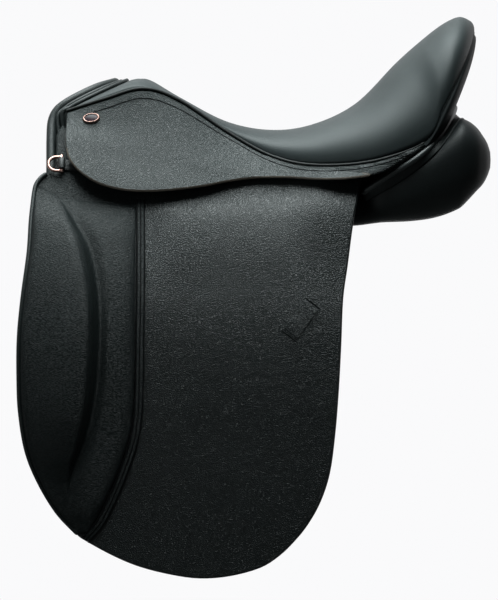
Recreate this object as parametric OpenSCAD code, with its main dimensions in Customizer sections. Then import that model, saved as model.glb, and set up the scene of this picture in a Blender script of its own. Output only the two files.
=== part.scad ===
// Dressage saddle, in millimetres.
// +X points forward to the pommel, +Y to the horse's near (left) side, +Z up.
// The origin is on the middle plane, under the lowest point of the seat, where the panels bear on the back.

/* [Seat] */
// Height of the seat's lowest point above the bearing of the panels
seat_height = 85; // [75:1:95]
// Rise of the pommel above the seat's lowest point
pommel_rise = 57; // [50:1:64]
// Rise of the cantle above the seat's lowest point
cantle_rise = 127; // [115:1:135]
// Forward reach from the lowest point to the middle of the pommel
pommel_reach = 162; // [154:1:170]
// Rearward reach from the lowest point to the back of the cantle
cantle_reach = 219; // [210:1:228]
// How far the sides of the cut-back head run forward of its middle
head_cut_back = 73; // [65:1:80]
// Drop of the seat's side below its lowest point on the middle line
seat_side_drop = 40; // [34:1:44]
// Width across the pommel
pommel_w = 128; // [120:1:136]
// Width at the twist
twist_w = 122; // [114:1:130]
// Width across the widest part of the seat
seat_w = 268; // [256:1:280]
// Squareness of the seat's crown across its width
seat_crown = 2.5; // [2.2:0.1:2.9]

/* [Seat layers] */
// Thickness of the seat leather
seat_leather = 2.4; // [1.6:0.2:3]
// Thickness of the seat foam
seat_foam_t = 10.5; // [8:0.5:12]
// Thickness of the webbing
web_t = 1.2; // [0.8:0.2:1.6]
// Thickness of the tree
tree_t = 9; // [7:0.5:10]
// Thickness of the steel head and gullet plates
plate_t = 2.4; // [2:0.2:3]
// Width of each girth web
girth_web_w = 36; // [30:1:40]

/* [Side] */
// Lean of the skirt and the flap's top away from the vertical, in degrees
side_lean = 33; // [31:0.5:34]
// Half width across the flaps at the line where they bend
side_half_w = 125; // [122:1:130]
// Height over which the flap turns from its lean to hang straight
flap_turn = 110; // [90:5:130]
// Thickness of the flap leather
flap_t = 4.5; // [3.5:0.5:5]
// Width of the flap
flap_w = 363; // [345:1:375]
// Length of the flap below the line where it bends
flap_len = 417; // [400:1:430]
// Forward reach of the flap's foremost point
flap_front = 288; // [280:1:296]
// Thickness of the sweat flap
sweat_flap_t = 3.5; // [2.5:0.5:4]
// Room for the girth straps between the flap and the sweat flap
girth_room = 7; // [6:0.5:9]
// Margin by which the sweat flap is smaller than the flap
sweat_margin = 14; // [10:1:20]

/* [Knee pad] */
// Thickness of the padding on the front of the flap
pad_t = 8; // [6:0.5:10]
// Height of the thigh block above the flap
block_t = 30; // [20:1:36]
// Thickness of the soft leather over the padding
pad_leather = 2; // [1.4:0.2:2.4]
// Width of the binding strip behind the padding
binding_w = 10; // [8:0.5:12]
// Thickness of the binding strip
binding_t = 3; // [2:0.5:4]

/* [Skirt] */
// Thickness of the skirt leather
skirt_t = 3.5; // [3:0.5:4]
// Standoff of the skirt's inner face from the flap's inner face
skirt_off = 13.8; // [13.6:0.2:16]
// Radius of the welt between the seat and the skirt
welt_r = 2.2; // [1.6:0.2:2.6]

/* [Girth straps] */
// Width of a girth strap
strap_w = 25; // [22:1:28]
// Thickness of a girth strap
strap_t = 4; // [3:0.5:4.5]
// Length of a girth strap below the line where the flap bends
strap_len = 355; // [320:5:375]
// Distance between the strap holes
hole_pitch = 25; // [20:1:30]
// Number of holes in a strap
hole_count = 9; // [6:1:10]
// Width of an oblong strap hole
hole_w = 5; // [4:0.5:6]
// Length of an oblong strap hole
hole_len = 8; // [7:0.5:10]
// Forward place of the front girth strap
front_strap_x = 84; // [80:1:88]
// Forward place of the rear girth strap
rear_strap_x = 16; // [10:1:24]

/* [Stirrup bar] */
// Length of the bar that carries the stirrup leather
bar_len = 72; // [60:1:76]
// Width of the bar
bar_w = 13; // [10:1:15]
// Thickness of the bar
bar_t = 5; // [4:0.2:5.4]
// Gap between the bar and its plate, for the leather
bar_gap = 8.4; // [7:0.2:8.6]
// Thickness of the plate
bar_plate_t = 3; // [2:0.2:3.4]
// Width of the plate
bar_plate_w = 26; // [22:1:30]
// Radius of the catch's pin
pin_r = 1.95; // [1.5:0.05:2.5]
// Length of the catch behind its pin
catch_len = 24; // [18:1:28]
// Radius of a rivet's shank
rivet_r = 2.5; // [2:0.1:3]

/* [Dee ring] */
// Radius of the dee ring's wire
dee_wire_r = 1.8; // [1.5:0.1:2.2]
// Radius of the dee ring's bar, which turns in the leather chape
dee_bar_r = 2; // [1.9:0.1:2.4]
// Radius of the dee ring's bow
dee_bow_r = 9.2; // [8:0.2:11]
// Length of the straight sides of the dee ring
dee_leg = 5.5; // [3:0.5:7]
// Thickness of the chape leather
chape_t = 2; // [1.5:0.1:2.2]
// Length of the chape behind the dee ring
chape_len = 34; // [28:1:40]

/* [Panel] */
// Half width of the channel between the panels
channel_half_w = 34; // [30:1:38]
// Half width of a panel at the rear
panel_half_w = 46; // [42:1:48]
// Overhang of the panels behind the cantle
panel_overhang = 22; // [16:1:26]
// Depth of the panels' lower edge below the bearing
panel_depth = 18; // [15:1:22]
// Radius of the piping along the top of the panels
piping_r = 3; // [2.5:0.5:4]
// Radius of the padded roll round the head
roll_r = 5.5; // [4.5:0.5:6]

/* [Fit] */
// Gap between pieces that are sewn or nailed together
seat_gap = 0.3; // [0.2:0.05:0.4]
// Gap between the layers of webbing, wood and steel under the seat
layer_gap = 0.8; // [0.7:0.05:0.9]
// Radial clearance of a pin that turns
turn_gap = 0.05; // [0.03:0.01:0.08]

/* [Hidden] */
$fn = 48;
LEATHER = [0.09, 0.1, 0.1];
SOFT_LEATHER = [0.11, 0.13, 0.13];
STEEL = [0.72, 0.72, 0.74];
BRASS = [0.85, 0.7, 0.6];
WOOD = [0.76, 0.6, 0.4];
WEB = [0.85, 0.83, 0.76];
FOAM = [0.9, 0.85, 0.65];

// Curves
function mix(a, b, t) = a + (b - a) * t;
function unit(v) = v / norm(v);
function tanh(t) = (exp(2 * t) - 1) / (exp(2 * t) + 1);
function smooth(a, b, t) = let (f = min(max((t - a) / (b - a), 0), 1)) f * f * (3 - 2 * f);
// Point at t, from 0 to 1, on a smooth curve through the points p
function spline(p, t) = let (n = len(p) - 1, s = min(max(t, 0), 1) * n, i = min(floor(s), n - 1),
    f = s - i,
    a = p[max(i - 1, 0)], b = p[i], c = p[i + 1], d = p[min(i + 2, n)])
    0.5 * (2 * b + (c - a) * f + (2 * a - 5 * b + 4 * c - d) * f * f + (3 * b - a - 3 * c + d) * f * f * f);
function spline_points(p, n) = [for (i = [0 : n]) spline(p, i / n)];
// Value at x of a smooth curve through pairs [x, value] in falling order of x
function along(p, x, i = 0) = i >= len(p) - 2 || x >= p[i + 1].x
    ? let (f = min(max((p[i].x - x) / (p[i].x - p[i + 1].x), 0), 1),
        a = p[max(i - 1, 0)], b = p[i], c = p[i + 1], d = p[min(i + 2, len(p) - 1)],
        w = b.x - c.x, m0 = (c[1] - a[1]) / max(a.x - c.x, 1) * w, m1 = (d[1] - b[1]) / max(b.x - d.x,
        1) * w)
        b[1] * (1 + 2 * f) * (1 - f) * (1 - f) + m0 * f * (1 - f) * (1 - f)
        + c[1] * f * f * (3 - 2 * f) - m1 * f * f * (1 - f)
    : along(p, x, i + 1);

// Closed solids from rows of points
// A solid between two grids of points of the same size, the second one lying behind the first
module shell(front, back) {
    n = len(front) - 1;
    m = len(front[0]) - 1;
    w = m + 1;
    total = (n + 1) * w;
    rim = [for (j = [0 : m]) j, for (i = [1 : n]) i * w + m, for (j = [m - 1 : -1 : 0]) n * w + j,
        for (i = [n - 1 : -1 : 1]) i * w];
    faces = [for (i = [0 : n - 1], j = [0 : m - 1]) let (a = i * w + j, b = a + 1, c = a + w, d = c + 1)
        each [[a, b, d], [a, d, c], [total + a, total + d, total + b], [total + a, total + c, total + d]],
        for (k = [0 : len(rim) - 1]) let (a = rim[k], b = rim[(k + 1) % len(rim)])
        each [[b, a, total + a], [b, total + a, total + b]]];
    polyhedron([for (row = front) each row, for (row = back) each row], faces);
}
// A solid through closed rings of points, with flat fans on its two ends
module loft(rings) {
    n = len(rings) - 1;
    w = len(rings[0]);
    ends = [for (ring = [rings[0], rings[n]]) [for (p = ring) 1] * ring / w];
    first = (n + 1) * w;
    faces = [for (i = [0 : n - 1], j = [0 : w - 1]) let (a = i * w + j, b = i * w + (j + 1) % w)
        each [[a, a + w, b + w], [a, b + w, b]],
        for (j = [0 : w - 1]) let (k = (j + 1) % w)
        each [[first, j, k], [first + 1, n * w + k, n * w + j]]];
    polyhedron([for (ring = rings) each ring, each ends], faces);
}
// Rings of a round tube along a path, turned so that they keep the same sides out
function tube_rings(path, r, sides = 8) = [for (i = [0 : len(path) - 1])
    let (t = unit(path[min(i + 1, len(path) - 1)] - path[max(i - 1, 0)]),
        a = unit(cross(t, abs(t.y) > 0.9 ? [0, 0, 1] : [0, 1, 0])), b = cross(t, a))
    [for (k = [0 : sides - 1]) path[i] + r * (cos(360 * k / sides) * a + sin(360 * k / sides) * b)]];
module mirrored(side) { mirror([0, side == "right" ? 1 : 0, 0]) children(); }

// The seat's surface: u runs along it from pommel to cantle, v across it from the right edge to the left
function seat_z(rise, share) = seat_height + rise * share;
seat_half = seat_w / 2;
twist_half = twist_w / 2;
side_z = seat_height - seat_side_drop;
edge_points = [
    [pommel_reach + head_cut_back, pommel_w / 2, seat_z(pommel_rise, 0.37)],
    [pommel_reach + head_cut_back * 0.414, pommel_w / 2 + 1, seat_z(pommel_rise, 0.61)],
    [pommel_reach * 0.924, mix(pommel_w, twist_w, 0.5) / 2, seat_z(pommel_rise, 0.81)],
    [pommel_reach * 0.68, twist_half, seat_z(pommel_rise, 0.6)],
    [pommel_reach * 0.33, mix(twist_half, seat_half, 0.13), seat_z(pommel_rise, -0.05)],
    [pommel_reach * 0.021, mix(twist_half, seat_half, 0.47), mix(side_z, seat_height, 0.25)],
    [cantle_reach * -0.21, mix(twist_half, seat_half, 0.79), side_z],
    [cantle_reach * -0.51, seat_half, side_z + 5],
    [cantle_reach * -0.77, seat_half - 5, seat_z(cantle_rise, -0.1)],
    [cantle_reach * -0.85, seat_half - 9, seat_z(cantle_rise, 0.155)],
    [cantle_reach * -0.928, seat_half - 26, seat_z(cantle_rise, 0.435)],
    [cantle_reach * -0.99, seat_half * 0.52, seat_z(cantle_rise, 0.7)],
    [cantle_reach * -1.02, 0, seat_z(cantle_rise, 0.875)]];
middle_points = [
    [pommel_reach, 0, seat_z(pommel_rise, 0.99)],
    [pommel_reach * 0.945, 0, seat_z(pommel_rise, 1.01)],
    [pommel_reach * 0.86, 0, seat_z(pommel_rise, 0.965)],
    [pommel_reach * 0.658, 0, seat_z(pommel_rise, 0.63)],
    [pommel_reach * 0.34, 0, seat_z(pommel_rise, 0.165)],
    [pommel_reach * 0.032, 0, seat_height],
    [cantle_reach * -0.19, 0, seat_z(cantle_rise, 0.05)],
    [cantle_reach * -0.41, 0, seat_z(cantle_rise, 0.235)],
    [cantle_reach * -0.615, 0, seat_z(cantle_rise, 0.59)],
    [cantle_reach * -0.745, 0, seat_z(cantle_rise, 0.79)],
    [cantle_reach * -0.855, 0, seat_z(cantle_rise, 0.935)],
    [cantle_reach * -0.94, 0, seat_z(cantle_rise, 1)],
    [cantle_reach * -0.998, 0, seat_z(cantle_rise, 0.965)]];
function seat_edge(u) = spline(edge_points, u);
function seat_middle(u) = spline(middle_points, u);
// The head is rounder than the seat, and a slanting cut takes its middle back
function seat_point(u, v) = let (m = seat_middle(u), e = seat_edge(u), a = 90 * abs(v), f = smooth(0,
    0.2, u),
    crown = mix(1.9, seat_crown, f), across = pow(sin(a), 2 / crown), up = pow(cos(a), 2 / crown))
    [mix(m.x, e.x, mix(1 - up, across * across, f)), sign(v) * e.y * across, mix(e.z, m.z, up)];
// Layers under the seat lie towards a spine that runs below its middle line
spine_depth = 80;
// and straight down under the head, where the middle line turns over too sharply for them
function seat_spine(u) = let (
    along_middle = unit(seat_middle(min(u + 0.02, 1)) - seat_middle(max(u - 0.02, 0))),
    t = unit(mix([-1, 0, 0], along_middle, smooth(0.1, 0.3, u))))
    seat_middle(u) - spine_depth * [t.z, 0, -t.x];
function seat_layer(u, v, depth) = let (p = seat_point(u, v)) p - depth * unit(p - seat_spine(u));
function seat_grid(us, vs, depth) = [for (u = us) [for (v = vs) seat_layer(u, v, depth)]];
function steps(a, b, n) = [for (i = [0 : n]) mix(a, b, i / n)];
// A piece of the seat's surface between two depths
module seat_sheet(us, vs, top, bottom) { shell(seat_grid(us, vs, bottom), seat_grid(us, vs, top)); }
foam_top = seat_leather + seat_gap;
girth_web_top = foam_top + seat_foam_t + layer_gap;
seat_web_top = girth_web_top + web_t + layer_gap;
tree_top = seat_web_top + web_t + layer_gap;
tree_bottom = tree_top + tree_t;
head_end = 0.145;
last_u = 0.985;
seat_us = steps(0, last_u, 30);
seat_vs = steps(-1, 1, 16);
module seat_cover() { color(LEATHER) seat_sheet(seat_us, seat_vs, 0, seat_leather); }
module seat_foam() {
    color(FOAM) seat_sheet([for (i = [1 : 29]) seat_us[i]], seat_vs, foam_top, foam_top + seat_foam_t);
}
// Two webs strained from head to cantle carry the rider
module seat_web() {
    color(WEB) for (v = [-0.2, 0.2])
        seat_sheet(steps(0.06, 0.86, 20), [v - 0.13, v, v + 0.13], seat_web_top, seat_web_top + web_t);
}
// Place along the seat where its edge lies at x
function edge_u(x, low = 0, high = 0.75, n = 16) = n == 0 ? (low + high) / 2
    : let (u = (low + high) / 2) seat_edge(u).x > x ? edge_u(x, u, high, n - 1) : edge_u(x, low, u,
    n - 1);

// The tree: an open frame of head, rails and cantle, laminated from wood
tree_edge = 0.96;
tree_hole = 0.5;
tree_back = last_u - 0.065;
tree_loop = [
    for (i = [0 : 20]) [[mix(0.03, tree_back, i / 20), tree_edge], [mix(0.19, 0.7, i / 20), tree_hole]],
    for (i = [1 : 7]) [[tree_back, mix(tree_edge, -tree_edge, i / 8)], [0.7, mix(tree_hole, -tree_hole,
    i / 8)]],
    for (i = [20 : -1 : 0]) [[mix(0.03, tree_back, i / 20), -tree_edge], [mix(0.19, 0.7, i / 20),
    -tree_hole]],
    for (i = [1 : 7]) [[0.03, mix(-tree_edge, tree_edge, i / 8)], [0.19, mix(-tree_hole, tree_hole,
    i / 8)]]];
// The head is let down to take its steel plate
function tree_top_at(u) = tree_top + (plate_t + layer_gap) * (1 - smooth(head_end + 0.01,
    head_end + 0.03, u));
function tree_ring(pair) = [
    for (k = [0 : 4]) let (p = mix(pair[0], pair[1], k / 4)) seat_layer(p.x, p.y, tree_bottom),
    for (k = [4 : -1 : 0]) let (p = mix(pair[0], pair[1], k / 4)) seat_layer(p.x, p.y, tree_top_at(p.x))];
module tree() {
    rings = [for (pair = tree_loop) tree_ring(pair)];
    n = len(rings);
    w = 10;
    color(WOOD) polyhedron([for (ring = rings) each ring],
        [for (i = [0 : n - 1], j = [0 : w - 1]) let (a = i * w + j, b = i * w + (j + 1) % w,
            c = ((i + 1) % n) * w + j, d = ((i + 1) % n) * w + (j + 1) % w) each [[a, c, d], [a, d, b]]]);
}
module head_plate() {
    color(STEEL) seat_sheet(steps(0.04, head_end, 3), steps(-0.78, 0.78, 10), tree_top,
        tree_top + plate_t);
}
module gullet_plate() {
    color(STEEL) seat_sheet(steps(0.04, head_end, 6), steps(-0.55, 0.55, 10), tree_bottom + 2 * layer_gap,
        tree_bottom + 2 * layer_gap + plate_t);
}

// The leaning side: x forward, s down the lean from the line where the flap bends, d outward from the flap's
// inner face
function side_point(x, s, d) = [x, side_half_w + s * sin(side_lean) + d * cos(side_lean),
    d * sin(side_lean) - s * cos(side_lean)];
// Place down the lean of a point seen at height z on the layer d
function side_s(z, d = 0) = (d * sin(side_lean) - z) / cos(side_lean);
module on_side(d) {
    translate([0, side_half_w, 0]) rotate([side_lean - 90, 0, 0]) translate([0, 0, d]) children();
}
// Below the bend the side curves until it hangs straight
function hang(z, d) = let (t = tanh(-z / flap_turn), a = atan(tan(side_lean) * (1 - t * t)))
    [side_half_w + tan(side_lean) * flap_turn * t + d * cos(a), z + d * sin(a)];
hang_low = flap_len + 15;
function hang_strip(inner, outer,
    top) = let (zs = [for (i = [0 : 26]) -top - (hang_low - top) * pow(i / 26, 1.4)])
    [for (z = zs) hang(z, outer), for (i = [26 : -1 : 0]) hang(zs[i], inner)];
// A hanging sheet: a strip of the side's curve cut to an outline drawn from the side
module hanging(outline, inner, outer, top) {
    intersection() {
        translate([-300, 0, 0]) rotate([90, 0, 90]) linear_extrude(700) polygon(hang_strip(inner, outer,
            top));
        translate([0, 320, 0]) rotate([90, 0, 0]) linear_extrude(280) polygon(outline);
    }
}

// The flap, drawn in shares of its width behind its foremost point and of its length below its bend
flap_curve = [[0.04, 0], [0.034, 0.053], [0.028, 0.134], [0.01, 0.254], [-0.001, 0.36], [-0.002, 0.468],
    [0.003, 0.556],
    [0.022, 0.657], [0.059, 0.739], [0.115, 0.819], [0.176, 0.878], [0.207, 0.899], [0.294, 0.94],
    [0.375, 0.969],
    [0.471, 0.99], [0.559, 1], [0.651, 0.994], [0.744, 0.972], [0.803, 0.94], [0.852, 0.899], [0.893,
    0.854],
    [0.931, 0.794], [0.959, 0.719], [0.975, 0.619], [0.986, 0.504], [0.994, 0.377], [1, 0.254], [1.014,
    0.168],
    [1.028, 0.086], [1.047, 0]];
flap_first = flap_curve[0].x;
flap_last = flap_curve[len(flap_curve) - 1].x;
function flap_at(p) = [flap_front - p.x * flap_w, -p.y * flap_len];
flap_outline = [[flap_front - flap_first * flap_w, 15], for (p = spline_points(flap_curve,
    87)) flap_at(p),
    [flap_front - flap_last * flap_w, 15]];
flap_middle = flap_front - flap_w / 2;
sweat_outline = [for (p = flap_outline) [flap_middle + (p.x - flap_middle) * (1 - 2 * sweat_margin / flap_w),
    min(p.y * (1 - sweat_margin / flap_len), 4)]];
hinge_d = flap_t;
module flap(side) { mirrored(side) color(LEATHER) hanging(flap_outline, 0, flap_t, seat_gap); }
sweat_out = -girth_room;
sweat_in = sweat_out - sweat_flap_t;
module sweat_flap(side) {
    mirrored(side) color(LEATHER) hanging([for (p = sweat_outline) p], sweat_in, sweat_out, 4);
}

// The flap's fixed top, nailed to the tree under the skirt, with a notch for the stirrup bar
bar_front = 200;
bar_s = -66;
bar_plate_len = bar_len + 10;
notch_gap = 6;
flap_top_front = flap_front - flap_first * flap_w;
flap_top_back = flap_front - flap_last * flap_w;
module flap_top(side) {
    low = bar_s + bar_plate_w / 2 + notch_gap;
    back = bar_front - bar_plate_len - notch_gap;
    mirrored(side) color(LEATHER) on_side(0) linear_extrude(flap_t) polygon([
        [flap_top_front, 0], [flap_top_front - 2, side_s(12)], [flap_top_front - 5, side_s(22)],
        [flap_top_front - 9, side_s(28)], [flap_top_front - 17, side_s(33)], [flap_top_front - 25,
        side_s(38)],
        [flap_top_front - 27, side_s(52)], [flap_top_front - 27, side_s(76)], [flap_top_front - 34,
        side_s(88)],
        [bar_front + notch_gap, side_s(88)], [bar_front + notch_gap, low], [back, low],
        [back - 8, side_s(50)], [50, side_s(42)], [0, side_s(34)], [-60, side_s(28)],
        [flap_top_back - 4, side_s(26)],
        [flap_top_back, 0]]);
}
point_out = -0.4;
point_t = 9;
// The tree's points carry the stirrup bars
module tree_point(side) {
    mirrored(side) color(WOOD) difference() {
        on_side(point_out - point_t) linear_extrude(point_t) polygon([[112, side_s(74)], [124,
            side_s(86)],
            [160, side_s(93)], [222, side_s(93)], [228, side_s(82)], [224, side_s(46)], [214, side_s(33)],
            [192, side_s(31)], [172, side_s(35)], [118, side_s(38)], [112, side_s(44)]]);
        on_side(point_out - bar_plate_t - seat_gap) translate([bar_front - bar_plate_len - seat_gap,
            bar_s - bar_plate_w / 2 - seat_gap, 0])
            cube([bar_plate_len + 2 * seat_gap, bar_plate_w + 2 * seat_gap, 20]);
        for (x = bar_rivet_x) on_side(point_out - point_t - 1) translate([x, bar_s, 0])
            cylinder(h = 20, r = rivet_r + turn_gap);
    }
}
bar_rivet_x = [for (f = [0.12, 0.5, 0.76]) bar_front - bar_plate_len * (1 - f)];
bar_in = point_out + bar_gap;
bar_out = bar_in + bar_t;
pin_x = bar_front - bar_len;
lap_d = bar_in + bar_t / 2;
module stirrup_bar(side) {
    mirrored(side) color(STEEL) difference() {
        union() {
            on_side(point_out - bar_plate_t) translate([bar_front - bar_plate_len,
                bar_s - bar_plate_w / 2, 0])
                cube([bar_plate_len, bar_plate_w, bar_plate_t]);
            on_side(point_out - bar_plate_t / 2) translate([bar_front - 11, bar_s - bar_w / 2, 0])
                cube([11, bar_w, bar_gap + bar_t + bar_plate_t / 2]);
            on_side(bar_in) translate([pin_x, bar_s - bar_w / 2, 0]) cube([bar_len - 5, bar_w, bar_t]);
            on_side(bar_in) translate([pin_x, bar_s, 0]) cylinder(h = bar_t, d = bar_w);
        }
        on_side(lap_d) translate([pin_x - bar_w, bar_s - bar_w, 0]) cube([bar_w * 1.6, bar_w * 2, bar_t]);
        on_side(bar_in - 1) translate([pin_x, bar_s, 0]) cylinder(h = bar_t, r = pin_r + turn_gap);
        for (x = bar_rivet_x) on_side(point_out - bar_plate_t - 1) translate([x, bar_s, 0])
            cylinder(h = bar_plate_t + 2, r = rivet_r + turn_gap);
    }
}
module bar_rivets(side) {
    mirrored(side) color(STEEL) for (x = bar_rivet_x)
        on_side(point_out - point_t) translate([x, bar_s, 0]) cylinder(h = point_t, r = rivet_r);
}
// The catch stands in line with the bar when open and turns up to close it
module bar_catch(side) {
    mirrored(side) color(STEEL) difference() {
        union() {
            on_side(lap_d + 0.15) translate([pin_x, bar_s, 0]) cylinder(h = bar_t / 2 - 0.15,
                d = bar_w - 1);
            on_side(lap_d + 0.15) translate([pin_x - catch_len, bar_s - bar_w * 0.32, 0])
                cube([catch_len, bar_w * 0.64, bar_t / 2 - 0.15]);
            on_side(lap_d + 0.15) translate([pin_x - catch_len, bar_s, 0])
                cylinder(h = bar_t / 2 - 0.15, d = bar_w * 0.9);
        }
        on_side(lap_d - 1) translate([pin_x, bar_s, 0]) cylinder(h = bar_t, r = pin_r + turn_gap);
    }
}
module catch_pin(side) {
    mirrored(side) color(STEEL) on_side(bar_in) translate([pin_x, bar_s, 0]) cylinder(h = bar_t + 0.3,
        r = pin_r);
}

// Dee ring on the front of the flap's top, held by a leather chape
dee_x = 240;
dee_s = side_s(46, 9);
dee_d = flap_t + seat_gap + dee_bar_r + turn_gap + chape_t;
dee_top = dee_d - dee_bar_r - turn_gap - chape_t;
chape_w = 2 * (dee_bow_r - dee_wire_r) - 1;
module dee_ring(side) {
    mirrored(side) color(BRASS) on_side(dee_d) translate([dee_x, dee_s, 0]) {
        rotate([90, 0, 0]) cylinder(h = 2 * dee_bow_r + 4, r = dee_bar_r, center = true);
        for (k = [-1, 1]) translate([0, k * dee_bow_r, 0]) rotate([0, 90, 0]) cylinder(h = dee_leg,
            r = dee_wire_r);
        translate([dee_leg, 0, 0]) rotate([0, 0, -90]) rotate_extrude(angle = 180) translate([dee_bow_r,
            0])
            circle(r = dee_wire_r);
    }
}
module dee_chape(side) {
    loop_r = dee_bar_r + turn_gap + chape_t;
    mirrored(side) color(LEATHER) difference() {
        union() {
            on_side(dee_d) translate([dee_x, dee_s, 0]) rotate([90, 0, 0])
                cylinder(h = chape_w, r = loop_r, center = true);
            on_side(dee_top) translate([dee_x - chape_len, dee_s - chape_w / 2, 0]) cube([chape_len,
                chape_w, chape_t]);
        }
        on_side(dee_d) translate([dee_x, dee_s, 0]) rotate([90, 0, 0])
            cylinder(h = chape_w + 2, r = dee_bar_r + turn_gap, center = true);
        on_side(dee_top - 1) translate([dee_x - chape_len + 8, dee_s, 0]) cylinder(h = chape_t + 2,
            r = 1.5);
    }
}
module dee_nail(side) {
    mirrored(side) color(BRASS) {
        on_side(dee_top) translate([dee_x - chape_len + 8, dee_s, 0]) cylinder(h = chape_t + 1, r = 1.4);
        on_side(dee_top + chape_t + seat_gap) translate([dee_x - chape_len + 8, dee_s, 0])
            cylinder(h = 1.6, r1 = 4, r2 = 2.5);
    }
}

// Girth webs cross the tree and come down its sides to carry the girth straps
strap_out = -0.7;
strap_in = strap_out - strap_t;
web_out = strap_in - layer_gap;
web_end = -14;
function flip(p) = [p.x, -p.y, p.z];
function web_path(x, depth, d) = let (u = edge_u(x), across = [for (v = steps(0, 1, 8)) seat_layer(u, v,
    depth)],
    top = side_s(across[8].z * 0.55),
    half = [each across, for (s = [top, mix(top, web_end, 0.5), web_end]) side_point(x, s, d)])
    [for (i = [len(half) - 1 : -1 : 1]) flip(half[i]), each half];
module girth_web(x) {
    xs = [for (k = steps(0.5, -0.5, 6)) x + k * girth_web_w];
    color(WEB) shell([for (k = xs) web_path(k, girth_web_top + web_t, web_out - web_t)],
        [for (k = xs) web_path(k, girth_web_top, web_out)]);
}
module front_girth_web() { girth_web(front_strap_x); }
module rear_girth_web() { girth_web(rear_strap_x); }
strap_top = 34;
module girth_strap(side, x) {
    half = strap_w / 2;
    mirrored(side) color(LEATHER) difference() {
        intersection() {
            translate([x - half, 0, 0]) rotate([90, 0, 90]) linear_extrude(strap_w) polygon([
                for (z = [strap_top, 0]) let (p = side_point(0, side_s(z), strap_out)) [p.y, p.z],
                for (i = [1 : 14]) hang(-strap_len * i / 14, strap_out),
                for (i = [14 : -1 : 1]) hang(-strap_len * i / 14, strap_in),
                for (z = [0, strap_top]) let (p = side_point(0, side_s(z), strap_in)) [p.y, p.z]]);
            translate([0, 320, 0]) rotate([90, 0, 0]) linear_extrude(300) polygon([[x - half, 60],
                [x + half, 60],
                [x + half, 14 - strap_len], [x + half * 0.5, 3 - strap_len], [x, -strap_len],
                [x - half * 0.5, 3 - strap_len], [x - half, 14 - strap_len]]);
        }
        for (k = [0 : hole_count - 1]) translate([x - hole_w / 2, 100, 30 - strap_len + k * hole_pitch])
            cube([hole_w, 150, hole_len]);
    }
}
module front_girth_strap(side) { girth_strap(side, front_strap_x); }
module rear_girth_strap(side) { girth_strap(side, rear_strap_x); }

// The skirt: a fixed top sewn to the welt and a lobe that bends up along a straight line
skirt_out = skirt_off + skirt_t;
skirt_curve = [[236, 80], [235.5, 66], [231, 50], [219, 35.5], [199, 23], [174, 16], [148, 14], [117, 15.5],
    [81, 20.5], [53, 26.5], [24, 30.5], for (p = [[0.05, 31], [0.215, 29], [0.375, 30], [0.54, 36],
    [0.64, 48.5], [0.708, 58], [0.758, 67]]) [-p.x * cantle_reach, p.y]];
lobe_back = 30;
tail_flare = 40;
function bend_z(x) = mix(31, 78, (x - 15) / 221);
module skirt(side) {
    edge = [for (p = spline_points([for (i = [1 : 10]) skirt_curve[i]], 45)) if (p.x > lobe_back) p];
    mirrored(side) color(LEATHER) on_side(skirt_off) linear_extrude(skirt_t) polygon([
        [236, side_s(bend_z(236), skirt_out) + seat_gap], for (p = edge) [p.x, side_s(p.y, skirt_out)],
        [lobe_back, side_s(along(skirt_curve, lobe_back), skirt_out)],
        [lobe_back, side_s(bend_z(lobe_back), skirt_out) + seat_gap]]);
}
function welt_path_point(u) = seat_edge(u) + [0, welt_r + 2 * seat_gap, -0.6];
skirt_end_u = 0.65;
skirt_xs = [234.8, 225, 212, 198, 184, 170, 155, 140, 125, 110, 95, 80, 65, 50, 40, 29.6, 29.2, 15,
    for (f = [0, 0.07, 0.14, 0.21, 0.285, 0.36, 0.43, 0.5, 0.575, 0.64, 0.695, 0.73, 0.753])
    -f * cantle_reach];
function skirt_column(x, d) = let (u = edge_u(x), w = welt_path_point(u), lean = [0, cos(side_lean),
    sin(side_lean)],
    top = [x, w.y + 1.6, w.z - welt_r - seat_gap - 0.4], lobe = x > lobe_back - 0.5,
    z = lobe ? bend_z(x) : along(skirt_curve, x), plane = side_point(x, side_s(z, skirt_out), skirt_out),
    flare = top.y + max(top.z - z, 0) * tan(tail_flare),
    low = lobe ? plane : [x, mix(plane.y, flare, smooth(lobe_back, -0.3 * cantle_reach, x)), z],
    high = max(top.z - low.z, 1.5))
    [for (t = steps(0, 1, 4)) let (p = mix([x, top.y, low.z + high], low, t))
        p + lean * (sin(180 * t) * high * 0.07 - d)];
module skirt_top(side) {
    mirrored(side) color(LEATHER) shell([for (x = skirt_xs) skirt_column(x, skirt_t)],
        [for (x = skirt_xs) skirt_column(x, 0)]);
}
module seat_welt(side) {
    mirrored(side) color(LEATHER) loft(tube_rings([for (u = steps(0.005, skirt_end_u,
        36)) welt_path_point(u)],
        welt_r));
}
// Plain oval stud on the skirt's front
stud_w = 20;
stud_h = 13;
stud_x = 207;
function oval(w, h, n = 36) = [for (i = [0 : n - 1]) [w / 2 * cos(360 * i / n),
    h / 2 * sin(360 * i / n)]];
module skirt_stud(side) {
    at = mix(skirt_column(stud_x, 0)[1], skirt_column(stud_x, 0)[2], 0.45);
    forward = unit(skirt_column(stud_x + stud_w / 2, 0)[1] - skirt_column(stud_x - stud_w / 2, 0)[1]);
    out = unit(cross(forward, skirt_column(stud_x, 0)[2] - skirt_column(stud_x, 0)[0]));
    down = cross(out, forward);
    place = [[forward.x, down.x, out.x, at.x], [forward.y, down.y, out.y, at.y], [forward.z, down.z,
        out.z, at.z],
        [0, 0, 0, 1]];
    mirrored(side) color(BRASS) multmatrix(place) translate([0, 0, layer_gap]) {
        linear_extrude(1.8) polygon(oval(stud_w, stud_h));
        translate([0, 0, 1]) linear_extrude(1.8) polygon(oval(stud_w - 5, stud_h - 5));
    }
}

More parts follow.
